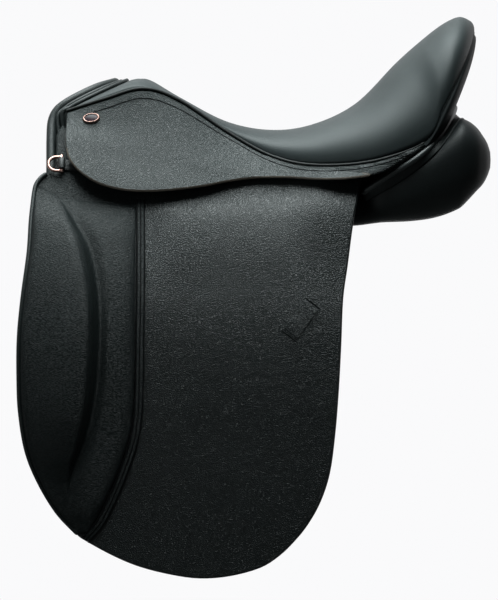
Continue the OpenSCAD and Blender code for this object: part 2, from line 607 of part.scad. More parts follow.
// Panels: two long cushions stuffed with wool, each row [x, inner y, inner z, outer y, outer z, above, below]
panel_out = hang(-4, sweat_in) + [-0.7, 1.5];
panel_back = cantle_reach + panel_overhang;
panel_side = channel_half_w + 2 * panel_half_w + 8;
panel_rows = [
    [246, 78, 36, 98, 14, 4, 4],
    [238, 62, 46, 108, 2, 8, 8],
    [222, 50, 52, panel_out[0], panel_out[1], 13, 13],
    [190, channel_half_w + 10, 54, panel_out[0], panel_out[1], 16, 16],
    [145, channel_half_w + 4, 48, panel_out[0], panel_out[1], 18, 18],
    [100, channel_half_w + 1, 36, panel_out[0], panel_out[1], 20, 19],
    [50, channel_half_w, 26, panel_out[0], panel_out[1], 21, 20],
    [0, channel_half_w, 18, panel_out[0], panel_out[1], 21, 21],
    [-50, channel_half_w, 14, panel_out[0], panel_out[1], 22, 22],
    [-92, channel_half_w, 15, panel_out[0] + 1, panel_out[1] + 1, 26, panel_depth + 4],
    [-0.55 * cantle_reach, channel_half_w, 18, panel_side - 4, 4, 32, panel_depth + 10],
    [-0.685 * cantle_reach, channel_half_w, 28, panel_side, 20, 36, panel_depth + 23],
    [-0.82 * cantle_reach, channel_half_w + 2, 44, panel_side + 1, 38, 34, panel_depth + 36],
    [36 - panel_back, channel_half_w + 6, 53, panel_side - 1, 49, 43, panel_depth + 37],
    [27 - panel_back, channel_half_w + 12, 53, panel_side - 4, 51, 42, panel_depth + 30],
    [16 - panel_back, channel_half_w + 18, 53, panel_side - 10, 51, 34, panel_depth + 18],
    [9 - panel_back, channel_half_w + 26, 52, panel_side - 18, 51, 26, 28],
    [4 - panel_back, channel_half_w + 34, 52, panel_side - 26, 50, 18, 18],
    [-panel_back, channel_half_w + 46, 51, panel_side - 38, 50, 6, 6]];
function panel_value(x, k) = along([for (row = panel_rows) [row.x, row[k]]], x);
function panel_point(x, a) = let (t = sign(cos(a)) * pow(abs(cos(a)), 0.75),
    h = sign(sin(a)) * pow(abs(sin(a)), 0.75),
    f = (t + 1) / 2)
    [x, mix(panel_value(x, 1), panel_value(x, 3), f),
        mix(panel_value(x, 2), panel_value(x, 4), f) + h * panel_value(x, h > 0 ? 5 : 6)];
panel_xs = [each steps(246, 238, 2), each steps(228, -0.868 * cantle_reach, 22), each steps(36 - panel_back,
    9 - panel_back, 3),
    4 - panel_back, 1.5 - panel_back, -panel_back];
module panel(side) {
    mirrored(side) color(LEATHER) loft([for (x = panel_xs) [for (k = [0 : 15]) panel_point(x,
        -22.5 * k)]]);
}
// Leather across the top of the channel, from panel to panel
module channel_lining() {
    xs = [for (x = panel_xs) if (x < 230 && x > -215) x];
    rows = [for (x = xs) [for (k = [-1, -0.5, 0, 0.5, 1])
        [x, k * (panel_value(x, 1) - seat_gap), panel_value(x, 2) + 6 * (1 - k * k)]]];
    color(LEATHER) shell([for (row = rows) [for (p = row) p - [0, 0, 2]]], rows);
}

// Piping from the waist of one panel round the back of the cantle to the other
piping_points = [for (p = [[0.45, 0.925, 14], [0.603, 1, 36], [0.712, 1.015, 51], [0.804, 0.94, 68],
    [0.858, 0.813, 82], [0.895, 0.597, 97], [0.913, 0.3, 107], [0.918, 0, 110]])
    [-p.x * cantle_reach, p.y * seat_half, p.z]];
function piping_at(w) = let (p = spline(piping_points, 1 - abs(w))) [p.x, sign(w) * p.y, p.z];
module panel_piping() { color(LEATHER) loft(tube_rings([for (w = steps(1, -1, 56)) piping_at(w)],
    piping_r)); }
// Leather that closes the back between the panels, from the channel's lining up to the piping
bridge_t = 2;
bridge_x = -0.965 * cantle_reach;
function bridge_row(k, x) = let (
    low = [bridge_x, k * (channel_half_w + 2.5), panel_value(bridge_x, 2) + 9 - 5 * k * k],
    high = piping_at(0.214 * k) - [0, 0, piping_r + layer_gap])
    [for (t = steps(0, 1, 8)) let (p = mix(low, high, t)) [p.x + x, mix(low.y, high.y, pow(t, 2.5)), p.z]];
module panel_bridge() {
    ks = steps(-1, 1, 10);
    color(LEATHER) shell([for (k = ks) bridge_row(k, bridge_t)], [for (k = ks) bridge_row(k, 0)]);
}
// The back of the cantle, from the seat's rim down to the piping
facing_t = 1.8;
facing_end = 0.66;
function facing_point(w, t, depth) = let (rim = seat_edge(1 - 0.3 * abs(w)),
    low = piping_at(w * facing_end),
    out = unit([rim.x + cantle_reach * 0.5, sign(w) * rim.y, 0]), r = [rim.x, sign(w) * rim.y, rim.z],
    p = mix(r, low + [0, 0, piping_r + layer_gap], t))
    p + out * (2.1 + 5.4 * sin(180 * pow(t, 0.7)) - depth);
module cantle_facing() {
    ws = steps(1, -1, 24);
    ts = steps(0.04, 1, 6);
    color(LEATHER) shell([for (w = ws) [for (t = ts) facing_point(w, t, facing_t)]],
        [for (w = ws) [for (t = ts) facing_point(w, t, 0)]]);
}

// Padded rolls round the cut-back head, set off from the seat's front edge by these steps, each [v, x, y, z]
facing_roll_r = 2.2;
roll_steps = [[1, 15.8, -7, -12], [0.9, 20.4, -12, -5], [0.8, 20, -13, -1.3], [0.65, 18.5, -13, 0.5],
    [0.45, 18.5, -12, 0], [0.2, 18.5, -6, -2.6]];
middle_step = [19, 0, -3.4];
function head_half(f) = [for (p = roll_steps) seat_point(0, p[0]) + f * [p[1], p[2], p[3]]];
function head_path(ends, f) = let (half = [each ends, each head_half(f)])
    [each half, seat_point(0, 0) + f * middle_step, for (i = [len(half) - 1 : -1 : 0]) flip(half[i])];
module head_facing() {
    color(SOFT_LEATHER) for (f = [0.28, 0.54])
        loft(tube_rings(spline_points(head_path([], f), 48), facing_roll_r));
}
roll_x = pommel_reach + head_cut_back + 17;
roll_side = [for (z = [34, 55, 78]) side_point(roll_x, side_s(z), -roll_r - seat_gap)];
module pommel_roll() {
    color(SOFT_LEATHER) loft(tube_rings(spline_points(head_path(roll_side, 1), 60), roll_r));
}

// The padded front of the flap: a thigh block under a soft cover, closed behind by a binding
function hang_point(x, z, d) = let (p = hang(z, d)) [x, p[0], p[1]];
pad_low = -0.878 * flap_len;
pad_base = flap_t + seat_gap;
edge_piping_r = 2.4;
pad_edge = 2 * edge_piping_r + 3 * seat_gap;
flap_front_pairs = [for (i = [0 : 11]) let (p = flap_at(flap_curve[i])) [p.y, p.x]];
binding_pairs = [for (p = [[0, 0.363], [0.17, 0.362], [0.34, 0.36], [0.58, 0.352], [0.71, 0.311], [0.83,
    0.25],
    [0.9, 0.212]]) let (q = flap_at([p[1], p[0]])) [q.y, q.x]];
wall_pairs = [for (p = [[0, 0.19], [0.12, 0.241], [0.335, 0.259], [0.5, 0.25], [0.63, 0.212], [0.7,
    0.176],
    [0.76, 0.172], [0.83, 0.188], [0.9, 0.203]]) let (q = flap_at([p[1], p[0]])) [q.y, q.x]];
block_pairs = [for (p = [[0.03, 0], [0.08, 0.25], [0.14, 0.6], [0.26, 0.9], [0.43, 1], [0.57, 0.85],
    [0.67, 0.5],
    [0.74, 0.15], [0.8, 0]]) [-p[0] * flap_len, p[1] * (block_t - pad_t)]];
pad_pairs = [for (p = [[0, 2.2 / pad_t], [0.03, 0.5], [0.07, 0.85], [0.12, 1], [0.8, 1], [0.85, 0.7],
    [0.9, 0.4]])
    [-p[0] * flap_len, p[1] * pad_t]];
// The pad's front, set back squarely from the slanting edge of the flap
function pad_front(z, in) = let (a = along(flap_front_pairs, z + 4), b = along(flap_front_pairs, z - 4))
    along(flap_front_pairs, z) - in * norm([8, a - b]) / 8;
pad_zs = [for (i = [0 : 24]) mix(-3, pad_low, i / 24)];
// Each row of the pad: places and heights from the front edge to the wall and from there to the binding
function pad_row(z) = let (front = pad_front(z, pad_edge), wall = along(wall_pairs, z),
    back = along(binding_pairs, z) + 0.8, high = along(block_pairs, z), base = along(pad_pairs, z))
    [[front, base * 0.45], [mix(front, wall, 0.07), base * 0.9 + high * 0.12], [mix(front, wall, 0.3),
    base + high * 0.42],
        [mix(front, wall, 0.6), base + high * 0.78], [mix(front, wall, 0.88), base + high], [wall,
        base + high * 0.9],
        [mix(wall, back, 0.2), base], [mix(wall, back, 0.6), base], [back, base * 0.7]];
core_zs = [for (z = pad_zs) if (z < -0.09 * flap_len && z > -0.74 * flap_len) z];
module thigh_block(side) {
    rows = [for (z = core_zs) [for (k = [1 : 5]) let (p = pad_row(z)[k]) [p.x, z,
        max(p[1] - pad_leather - seat_gap, 1.2)]]];
    mirrored(side) color(FOAM) shell([for (row = rows) [for (p = row) hang_point(p.x, p.y,
        pad_base + p.z)]],
        [for (row = rows) [for (p = row) hang_point(p.x, p.y, pad_base)]]);
}
module knee_pad(side) {
    rows = [for (z = pad_zs) [for (k = [0 : 8]) let (p = pad_row(z)[k],
        core = k >= 1 && k <= 5 && z <= core_zs[0] && z >= core_zs[len(core_zs) - 1])
        [p.x, z, p[1], core ? max(p[1] - pad_leather, 1.2 + seat_gap) : 0]]];
    mirrored(side) color(SOFT_LEATHER) shell(
        [for (row = rows) [for (p = row) hang_point(p.x, p.y, pad_base + p[2])]],
        [for (row = rows) [for (p = row) hang_point(p.x, p.y, pad_base + p[3])]]);
}
module pad_piping(side) {
    path = [for (z = pad_zs) hang_point(pad_front(z, pad_edge / 2), z, pad_base + edge_piping_r)];
    mirrored(side) color(SOFT_LEATHER) loft(tube_rings(path, edge_piping_r));
}
module pad_binding(side) {
    path = [for (z = pad_zs) [along(binding_pairs, z), z]];
    strip = [for (i = [0 : len(path) - 1]) let (t = unit(path[min(i + 1,
        len(path) - 1)] - path[max(i - 1, 0)]),
        n = [t.y, -t.x]) [path[i], path[i] + n * binding_w]];
    mirrored(side) color(LEATHER) shell(
        [for (pair = strip) [for (p = pair) hang_point(p.x, p.y, pad_base + binding_t)]],
        [for (pair = strip) [for (p = pair) hang_point(p.x, p.y, pad_base)]]);
}
// Keeper for the loose end of the stirrup leather
keeper_len = 44;
keeper_w = 17;
keeper_tilt = 37;
keeper_t = 1.4;
module leather_keeper(side) {
    middle = flap_at([0.87, 0.31]);
    grid = [for (a = steps(-0.5, 0.5, 6)) [for (b = [-0.5, 0, 0.5]) middle
        + a * keeper_len * [sin(keeper_tilt), -cos(keeper_tilt)] + b * keeper_w * [-cos(keeper_tilt),
        -sin(keeper_tilt)]]];
    mirrored(side) color(LEATHER) shell(
        [for (row = grid) [for (p = row) hang_point(p.x, p.y, pad_base + keeper_t)]],
        [for (row = grid) [for (p = row) hang_point(p.x, p.y, pad_base)]]);
}

tree();
head_plate();
gullet_plate();
seat_web();
front_girth_web();
rear_girth_web();
seat_foam();
seat_cover();
cantle_facing();
panel_piping();
pommel_roll();
head_facing();
channel_lining();
panel_bridge();
tree_point("left");  // left_tree_point
seat_welt("left");  // left_seat_welt
panel("left");  // left_panel
sweat_flap("left");  // left_sweat_flap
skirt_top("left");  // left_skirt_top
skirt("left");  // left_skirt
skirt_stud("left");  // left_skirt_stud
flap_top("left");  // left_flap_top
flap("left");  // left_flap
thigh_block("left");  // left_thigh_block
knee_pad("left");  // left_knee_pad
pad_piping("left");  // left_pad_piping
pad_binding("left");  // left_pad_binding
leather_keeper("left");  // left_leather_keeper
dee_ring("left");  // left_dee_ring
dee_chape("left");  // left_dee_chape
dee_nail("left");  // left_dee_nail
stirrup_bar("left");  // left_stirrup_bar
bar_rivets("left");  // left_bar_rivets
bar_catch("left");  // left_bar_catch
catch_pin("left");  // left_catch_pin
front_girth_strap("left");  // left_front_girth_strap
rear_girth_strap("left");  // left_rear_girth_strap
tree_point("right");  // right_tree_point
seat_welt("right");  // right_seat_welt
panel("right");  // right_panel
sweat_flap("right");  // right_sweat_flap
skirt_top("right");  // right_skirt_top
skirt("right");  // right_skirt
skirt_stud("right");  // right_skirt_stud
flap_top("right");  // right_flap_top
flap("right");  // right_flap
thigh_block("right");  // right_thigh_block
knee_pad("right");  // right_knee_pad
pad_piping("right");  // right_pad_piping
pad_binding("right");  // right_pad_binding
leather_keeper("right");  // right_leather_keeper
dee_ring("right");  // right_dee_ring
dee_chape("right");  // right_dee_chape
dee_nail("right");  // right_dee_nail
stirrup_bar("right");  // right_stirrup_bar
bar_rivets("right");  // right_bar_rivets
bar_catch("right");  // right_bar_catch
catch_pin("right");  // right_catch_pin
front_girth_strap("right");  // right_front_girth_strap
rear_girth_strap("right");  // right_rear_girth_strap
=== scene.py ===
import bmesh
import bpy
import math
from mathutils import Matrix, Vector


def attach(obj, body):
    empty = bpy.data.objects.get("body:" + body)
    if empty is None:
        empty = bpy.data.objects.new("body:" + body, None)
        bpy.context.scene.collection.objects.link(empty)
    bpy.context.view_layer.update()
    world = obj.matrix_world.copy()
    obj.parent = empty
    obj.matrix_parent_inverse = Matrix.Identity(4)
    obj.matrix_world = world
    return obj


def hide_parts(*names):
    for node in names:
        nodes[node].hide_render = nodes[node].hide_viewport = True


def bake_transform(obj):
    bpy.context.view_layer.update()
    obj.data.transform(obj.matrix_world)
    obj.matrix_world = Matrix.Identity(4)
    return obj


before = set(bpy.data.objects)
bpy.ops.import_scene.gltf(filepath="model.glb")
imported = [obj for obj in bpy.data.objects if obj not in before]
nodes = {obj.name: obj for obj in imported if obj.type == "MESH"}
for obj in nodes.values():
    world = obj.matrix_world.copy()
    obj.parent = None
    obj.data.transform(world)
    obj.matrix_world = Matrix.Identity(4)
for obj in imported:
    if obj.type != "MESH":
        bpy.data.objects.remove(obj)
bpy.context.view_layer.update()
sides = ("left", "right")

# The studio: the saddle hangs level over a pale floor, seen square from its near side by a far camera.
# A wide soft box hangs overhead, a second one lights the seat from behind and a weak one fills the front.
scene = bpy.context.scene
scene.view_settings.view_transform = "Standard"
camera = bpy.data.objects.new("camera", bpy.data.cameras.new("camera"))
scene.collection.objects.link(camera)
camera.data.sensor_width = 36
camera.data.lens = 1200
camera.data.clip_end = 60
camera.location = (0.0302, 22.5, -0.1064)
camera.rotation_euler = (math.radians(90), 0, math.radians(180))
scene.camera = camera

bm = bmesh.new()
bmesh.ops.create_grid(bm, x_segments=8, y_segments=8, size=2.0)
bmesh.ops.translate(bm, verts=bm.verts, vec=(0, 0, -0.8))
floor = bpy.data.objects.new("floor", bpy.data.meshes.new("floor"))
bm.to_mesh(floor.data)
bm.free()
scene.collection.objects.link(floor)
floor_paint = bpy.data.materials.new("floor_paint")
floor_paint.use_nodes = True
net = floor_paint.node_tree
net.nodes["Principled BSDF"].inputs["Roughness"].default_value = 0.9
net.nodes["Principled BSDF"].inputs["Specular IOR Level"].default_value = 0.0
path = net.nodes.new("ShaderNodeLightPath")
shade = net.nodes.new("ShaderNodeMixRGB")
shade.inputs["Color1"].default_value = (0.12, 0.12, 0.12, 1)
shade.inputs["Color2"].default_value = (0.82, 0.82, 0.83, 1)
net.links.new(path.outputs["Is Camera Ray"], shade.inputs["Fac"])
net.links.new(shade.outputs["Color"], net.nodes["Principled BSDF"].inputs["Base Color"])
glow = net.nodes.new("ShaderNodeMapRange")
glow.inputs["To Max"].default_value = 0.4
net.nodes["Principled BSDF"].inputs["Emission Color"].default_value = (1, 1, 1, 1)
net.links.new(path.outputs["Is Camera Ray"], glow.inputs["Value"])
net.links.new(glow.outputs["Result"], net.nodes["Principled BSDF"].inputs["Emission Strength"])
floor.data.materials.append(floor_paint)

# The backdrop is near white to the camera and in what shines from behind; the room itself gives little light.
world = bpy.data.worlds.new("studio")
world.use_nodes = True
scene.world = world
net = world.node_tree
net.nodes.clear()
sky_out = net.nodes.new("ShaderNodeOutputWorld")
room = net.nodes.new("ShaderNodeBackground")
backdrop = net.nodes.new("ShaderNodeBackground")
backdrop.inputs["Color"].default_value = (0.955, 0.955, 0.965, 1)
path = net.nodes.new("ShaderNodeLightPath")
direction = net.nodes.new("ShaderNodeTexCoord")
parts = net.nodes.new("ShaderNodeSeparateXYZ")
behind = net.nodes.new("ShaderNodeMapRange")
behind.interpolation_type = "SMOOTHSTEP"
behind.inputs["From Min"].default_value = 0.05
behind.inputs["From Max"].default_value = -0.85
gloss = net.nodes.new("ShaderNodeMath")
gloss.operation = "MULTIPLY"
seen = net.nodes.new("ShaderNodeMath")
seen.operation = "MAXIMUM"
through = net.nodes.new("ShaderNodeMath")
through.operation = "MAXIMUM"
choose = net.nodes.new("ShaderNodeMixShader")
net.links.new(direction.outputs["Generated"], parts.inputs[0])
net.links.new(parts.outputs["Y"], behind.inputs["Value"])
dim = net.nodes.new("ShaderNodeMapRange")
dim.inputs["To Min"].default_value = 0.04
dim.inputs["To Max"].default_value = 0.22
net.links.new(behind.outputs["Result"], dim.inputs["Value"])
net.links.new(dim.outputs["Result"], room.inputs["Strength"])
net.links.new(path.outputs["Is Glossy Ray"], gloss.inputs[0])
net.links.new(behind.outputs["Result"], gloss.inputs[1])
net.links.new(path.outputs["Is Camera Ray"], seen.inputs[0])
net.links.new(gloss.outputs[0], seen.inputs[1])
net.links.new(seen.outputs[0], through.inputs[0])
net.links.new(path.outputs["Is Transmission Ray"], through.inputs[1])
net.links.new(through.outputs[0], choose.inputs["Fac"])
net.links.new(room.outputs[0], choose.inputs[1])
net.links.new(backdrop.outputs[0], choose.inputs[2])
net.links.new(choose.outputs[0], sky_out.inputs["Surface"])


def soft_box(name, at, aim, size, power):
    lamp = bpy.data.lights.new(name, "AREA")
    lamp.shape = "RECTANGLE"
    lamp.size, lamp.size_y = size
    lamp.energy = power
    lamp.color = (0.91, 1.0, 1.0)
    holder = bpy.data.objects.new(name, lamp)
    holder.location = at
    holder.rotation_euler = (Vector(aim) - Vector(at)).to_track_quat("-Z", "Y").to_euler()
    scene.collection.objects.link(holder)


soft_box("overhead", (0.16, 0.18, 1.85), (0.0, 0.05, 0.0), (1.7, 1.2), 100)
soft_box("seat_light", (0.7, -0.6, 1.7), (-0.05, 0.0, 0.1), (1.4, 1.0), 16)
soft_box("front_fill", (1.5, 1.7, 0.15), (0.1, 0.1, -0.15), (1.0, 1.4), 4.5)

# The tree, the saddle's hidden frame: laminated beech rails and points, a steel head plate over the
# front arch and a gullet plate under it, with webbing strained over the rails for the seat to lie on.


def material(name, colour, rough, metal=0.0):
    made = bpy.data.materials.new(name)
    made.use_nodes = True
    shader = made.node_tree.nodes["Principled BSDF"]
    shader.inputs["Base Color"].default_value = (*colour, 1)
    shader.inputs["Roughness"].default_value = rough
    shader.inputs["Metallic"].default_value = metal
    return made, made.node_tree, shader


def texture(net, kind, scale, stretch=(1, 1, 1), **sockets):
    place = net.nodes.new("ShaderNodeTexCoord")
    turn = net.nodes.new("ShaderNodeMapping")
    turn.inputs["Scale"].default_value = stretch
    made = net.nodes.new("ShaderNodeTex" + kind)
    made.inputs["Scale"].default_value = scale
    for socket, value in sockets.items():
        made.inputs[socket].default_value = value
    net.links.new(place.outputs["Object"], turn.inputs["Vector"])
    net.links.new(turn.outputs["Vector"], made.inputs["Vector"])
    return made


def shades(net, source, socket, stops):
    ramp = net.nodes.new("ShaderNodeValToRGB")
    for stop, (at, colour) in zip(ramp.color_ramp.elements, stops):
        stop.position = at
        stop.color = (*colour, 1)
    net.links.new(source, ramp.inputs["Fac"])
    net.links.new(ramp.outputs["Color"], socket)


def relief(net, shader, height, deep, under=None):
    bump = net.nodes.new("ShaderNodeBump")
    bump.inputs["Strength"].default_value = 1.0
    bump.inputs["Distance"].default_value = deep
    net.links.new(height, bump.inputs["Height"])
    if under is not None:
        net.links.new(under.outputs["Normal"], bump.inputs["Normal"])
    net.links.new(bump.outputs["Normal"], shader.inputs["Normal"])
    return bump


beech, net, shader = material("beech_laminate", (0.26, 0.17, 0.09), 0.6)
grain = texture(net, "Noise", 60, (0.25, 1, 6), Detail=6)
shades(net, grain.outputs["Fac"], shader.inputs["Base Color"],
       [(0.3, (0.17, 0.1, 0.05)), (0.7, (0.32, 0.22, 0.125))])
relief(net, shader, grain.outputs["Fac"], 0.0003)
plate_steel, net, shader = material("plate_steel", (0.42, 0.42, 0.44), 0.38, 1.0)
scale_marks = texture(net, "Noise", 120, Detail=5)
shades(net, scale_marks.outputs["Fac"], shader.inputs["Base Color"],
       [(0.3, (0.3, 0.3, 0.32)), (0.7, (0.55, 0.55, 0.57))])
relief(net, shader, scale_marks.outputs["Fac"], 0.0002)
webbing, net, shader = material("woven_webbing", (0.68, 0.64, 0.52), 0.85)
weave = texture(net, "Wave", 220, Distortion=1.5)
shades(net, weave.outputs["Fac"], shader.inputs["Base Color"],
       [(0.2, (0.5, 0.46, 0.36)), (0.8, (0.74, 0.7, 0.58))])
relief(net, shader, weave.outputs["Fac"], 0.0004)


# Gives a solid of the frame its finish, and a small round along its edges where one is asked for.
def dress(name, finish, edge=0.0):
    piece = nodes[name]
    piece.data.materials.clear()
    piece.data.materials.append(finish)
    if edge:
        weld = piece.modifiers.new("joined", "WELD")
        weld.merge_threshold = 1e-6
        bevel = piece.modifiers.new("edge", "BEVEL")
        bevel.width = edge
        bevel.segments = 2
        bevel.limit_method = "ANGLE"
        bevel.angle_limit = math.radians(35)
        bevel.harden_normals = True
        for face in piece.data.polygons:
            face.use_smooth = True


dress("tree", beech)
for name in ("head_plate", "gullet_plate"):
    dress(name, plate_steel)
for name in ("seat_web", "front_girth_web", "rear_girth_web"):
    dress(name, webbing)

# The points of the tree with their stirrup bars: forged steel bars riveted into the wood, each with a
# hinged catch on its open end that turns on a pin.
for side in sides:
    dress(side + "_tree_point", beech)
    for name in ("_stirrup_bar", "_bar_catch"):
        dress(side + name, plate_steel, 0.0005)
    for name in ("_bar_rivets", "_catch_pin"):
        dress(side + name, plate_steel, 0.0002)

# The girth straps: long straps of bridle leather, pointed and punched for the girth's buckles, hanging
# from the webs between the sweat flap and the flap.
mm = 0.001


# Dyed leather with a pebbled grain: the size and depth of the pebbles are in millimetres.
def leather(name, tone, grain, deep, rough, gloss, stretch=(1, 1, 1)):
    made, net, shader = material(name, tone, rough)
    shader.inputs["Specular IOR Level"].default_value = gloss
    coord = net.nodes.new("ShaderNodeTexCoord")
    turn = net.nodes.new("ShaderNodeMapping")
    turn.inputs["Scale"].default_value = stretch
    wander = net.nodes.new("ShaderNodeTexNoise")
    wander.inputs["Scale"].default_value = 0.5 / (grain * mm)
    wander.inputs["Detail"].default_value = 2
    shift = net.nodes.new("ShaderNodeVectorMath")
    shift.operation = "MULTIPLY_ADD"
    shift.inputs[1].default_value = (grain * mm,) * 3
    pebbles = net.nodes.new("ShaderNodeTexVoronoi")
    pebbles.feature = "DISTANCE_TO_EDGE"
    pebbles.inputs["Scale"].default_value = 1 / (grain * mm)
    tops = net.nodes.new("ShaderNodeMapRange")
    tops.interpolation_type = "SMOOTHSTEP"
    tops.inputs["From Max"].default_value = 0.28
    net.links.new(coord.outputs["Object"], turn.inputs["Vector"])
    net.links.new(turn.outputs["Vector"], wander.inputs["Vector"])
    net.links.new(wander.outputs["Color"], shift.inputs[0])
    net.links.new(turn.outputs["Vector"], shift.inputs[2])
    net.links.new(shift.outputs["Vector"], pebbles.inputs["Vector"])
    net.links.new(pebbles.outputs["Distance"], tops.inputs["Value"])
    cloud = texture(net, "Noise", 14, Detail=5)
    dye = net.nodes.new("ShaderNodeMixRGB")
    dye.inputs["Color1"].default_value = (*[c * 0.75 for c in tone], 1)
    dye.inputs["Color2"].default_value = (*[c * 1.25 for c in tone], 1)
    net.links.new(cloud.outputs["Fac"], dye.inputs["Fac"])
    # The valleys between the pebbles are darkened by up to four tenths: painted shade in the grain's creases.
    crease = net.nodes.new("ShaderNodeMixRGB")
    crease.blend_type = "MULTIPLY"
    crease.inputs["Fac"].default_value = 0.4
    net.links.new(dye.outputs["Color"], crease.inputs["Color1"])
    net.links.new(tops.outputs["Result"], crease.inputs["Color2"])
    net.links.new(crease.outputs["Color"], shader.inputs["Base Color"])
    worn = net.nodes.new("ShaderNodeMapRange")
    worn.inputs["To Min"].default_value = rough + 0.08
    worn.inputs["To Max"].default_value = rough - 0.08
    net.links.new(cloud.outputs["Fac"], worn.inputs["Value"])
    net.links.new(worn.outputs["Result"], shader.inputs["Roughness"])
    fine = texture(net, "Noise", 2.4 / (grain * mm), Detail=3)
    hide = relief(net, shader, fine.outputs["Fac"], deep * mm * 0.5)
    relief(net, shader, tops.outputs["Result"], deep * mm, hide)
    return made


strap_hide = leather("strap_hide", (0.013, 0.0155, 0.0155), 0.8, 0.06, 0.45, 0.4)
for side in sides:
    for name in ("_front_girth_strap", "_rear_girth_strap"):
        dress(side + name, strap_hide, 0.0008)

# The panels: two cushions of soft leather stuffed with wool that lie along the horse's back, full and high
# behind under the cantle, with a strip of leather lining the channel between them.
panel_front, panel_back = 246, 241
inner_y, inner_z, outer_y, outer_z, rise, drop = range(1, 7)
panel_rows = [  # from front to back: x, then the six measures named above
    (246, 78, 36, 98, 14, 4, 4), (238, 62, 46, 108, 2, 8, 8), (222, 50, 52, 118, -8, 13, 13),
    (190, 44, 54, 118, -8, 16, 16), (145, 38, 48, 118, -8, 18, 18), (100, 35, 36, 118, -8, 20, 19),
    (50, 34, 26, 118, -8, 21, 20), (0, 34, 18, 118, -8, 21, 21), (-50, 34, 14, 118, -8, 22, 22),
    (-92, 34, 15, 119, -7, 26, 22), (-120, 34, 18, 130, 4, 32, 28), (-150, 34, 28, 134, 20, 36, 41),
    (-180, 36, 44, 135, 38, 35, 54), (-205, 40, 53, 133, 49, 45, 55), (-214, 46, 53, 130, 51, 43, 48),
    (-225, 52, 53, 124, 51, 35, 36), (-232, 60, 52, 116, 51, 26, 28), (-237, 68, 52, 108, 50, 18, 18),
    (-241, 80, 51, 96, 50, 6, 6)]


def mix(a, b, t):
    return a + (b - a) * t


def smooth(a, b, t):
    f = min(max((t - a) / (b - a), 0), 1)
    return f * f * (3 - 2 * f)


# The value at x of a smooth curve through pairs that are listed from the highest x down.
def along(pairs, x):
    i = 0
    while i < len(pairs) - 2 and x < pairs[i + 1][0]:
        i += 1
    a, b, c, d = pairs[max(i - 1, 0)], pairs[i], pairs[i + 1], pairs[min(i + 2, len(pairs) - 1)]
    w = b[0] - c[0]
    f = min(max((b[0] - x) / w, 0), 1)
    m0 = (c[1] - a[1]) / max(a[0] - c[0], 1) * w
    m1 = (d[1] - b[1]) / max(b[0] - d[0], 1) * w
    return (b[1] * (1 + 2 * f) * (1 - f) ** 2 + m0 * f * (1 - f) ** 2
            + c[1] * f * f * (3 - 2 * f) - m1 * f * f * (1 - f))


def panel_value(x, k):
    return along([(row[0], row[k]) for row in panel_rows], x)


def panel_place(u, v):
    x = mix(panel_front, -panel_back, u)
    across, high = math.cos(2 * math.pi * v), math.sin(2 * math.pi * v)
    across = math.copysign(abs(across) ** 0.75, across)
    high = math.copysign(abs(high) ** 0.75, high)
    if u < 0.001 or u > 0.999:
        across = high = 0
    f = (across + 1) / 2
    swell = high * panel_value(x, rise if high > 0 else drop)
    return Vector((x, mix(panel_value(x, inner_y), panel_value(x, outer_y), f),
                   mix(panel_value(x, inner_z), panel_value(x, outer_z), f) + swell))


def ends_closer(u):
    return 0.5 - 0.5 * math.cos(math.pi * u)


# A sheet of columns and rows, each corner put where place says, in millimetres.
def sheet(columns, rows, place):
    made = bmesh.new()
    bmesh.ops.create_grid(made, x_segments=columns, y_segments=rows, size=1.0)
    for corner in made.verts:
        corner.co = Vector(place(corner.co.x / 2 + 0.5, corner.co.y / 2 + 0.5)) * mm
    return made


def piece(name, made, *finishes, outward=True):
    if outward:
        bmesh.ops.remove_doubles(made, verts=made.verts, dist=2e-6)
        bmesh.ops.recalc_face_normals(made, faces=made.faces)
    mesh = bpy.data.meshes.new(name)
    made.to_mesh(mesh)
    for face in mesh.polygons:
        face.use_smooth = True
    for finish in finishes:
        mesh.materials.append(finish)
    thing = bpy.data.objects.new(name, mesh)
    scene.collection.objects.link(thing)
    return thing


# The same piece twice: as made for the left side, and mirrored for the right.
def pair(stem, made, *finishes, outward=True):
    left = piece("left_" + stem, made, *finishes, outward=outward)
    bmesh.ops.scale(made, vec=(1, -1, 1), verts=made.verts)
    bmesh.ops.reverse_faces(made, faces=made.faces)
    right = piece("right_" + stem, made, *finishes, outward=False)
    made.free()
    return (("left", left), ("right", right))


def skin(thing, thick):
    wall = thing.modifiers.new("leather", "SOLIDIFY")
    wall.thickness = thick * mm
    wall.offset = -1


panel_hide = leather("panel_hide", (0.0085, 0.0115, 0.0118), 0.9, 0.03, 0.5, 0.2)
made = sheet(110, 48, lambda u, v: panel_place(ends_closer(u), v))
for side, thing in pair("panel_cushion", made, panel_hide):
    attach(thing, "saddle")
    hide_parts(side + "_panel")


def lining_place(u, v):
    x, k = mix(228, -213, u), 2 * v - 1
    return Vector((x, k * (panel_value(x, inner_y) - 0.3), panel_value(x, inner_z) + 6 * (1 - k * k)))


lining = piece("channel_strip", sheet(60, 10, lining_place), panel_hide)
skin(lining, 2)
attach(lining, "saddle")
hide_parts("channel_lining")

# The bridge and the panel's piping: leather that closes the back between the panels, and soft leather over a
# cord, sewn in between the panels and the back of the seat and running round the cantle from waist to waist.
# A narrow strip joins the piping to the top of each panel.
piping_r, piping_over = 3, 0.4
bridge_x, bridge_half_w, bridge_share = -211.3, 47, 0.214
piping_points = [Vector(p) for p in (  # its left half, from the waist to the middle of the cantle
    (-98.5, 124, 14), (-132, 134, 36), (-156, 136, 51), (-176, 126, 68), (-188, 109, 82), (-196, 80, 97),
    (-200, 40, 107), (-201, 0, 110))]


def spline(points, t):
    n = len(points) - 1
    s = min(max(t, 0), 1) * n
    i = min(int(s), n - 1)
    f = s - i
    a, b, c, d = points[max(i - 1, 0)], points[i], points[i + 1], points[min(i + 2, n)]
    return 0.5 * (2 * b + (c - a) * f + (2 * a - 5 * b + 4 * c - d) * f * f
                  + (3 * b - a - 3 * c + d) * f ** 3)


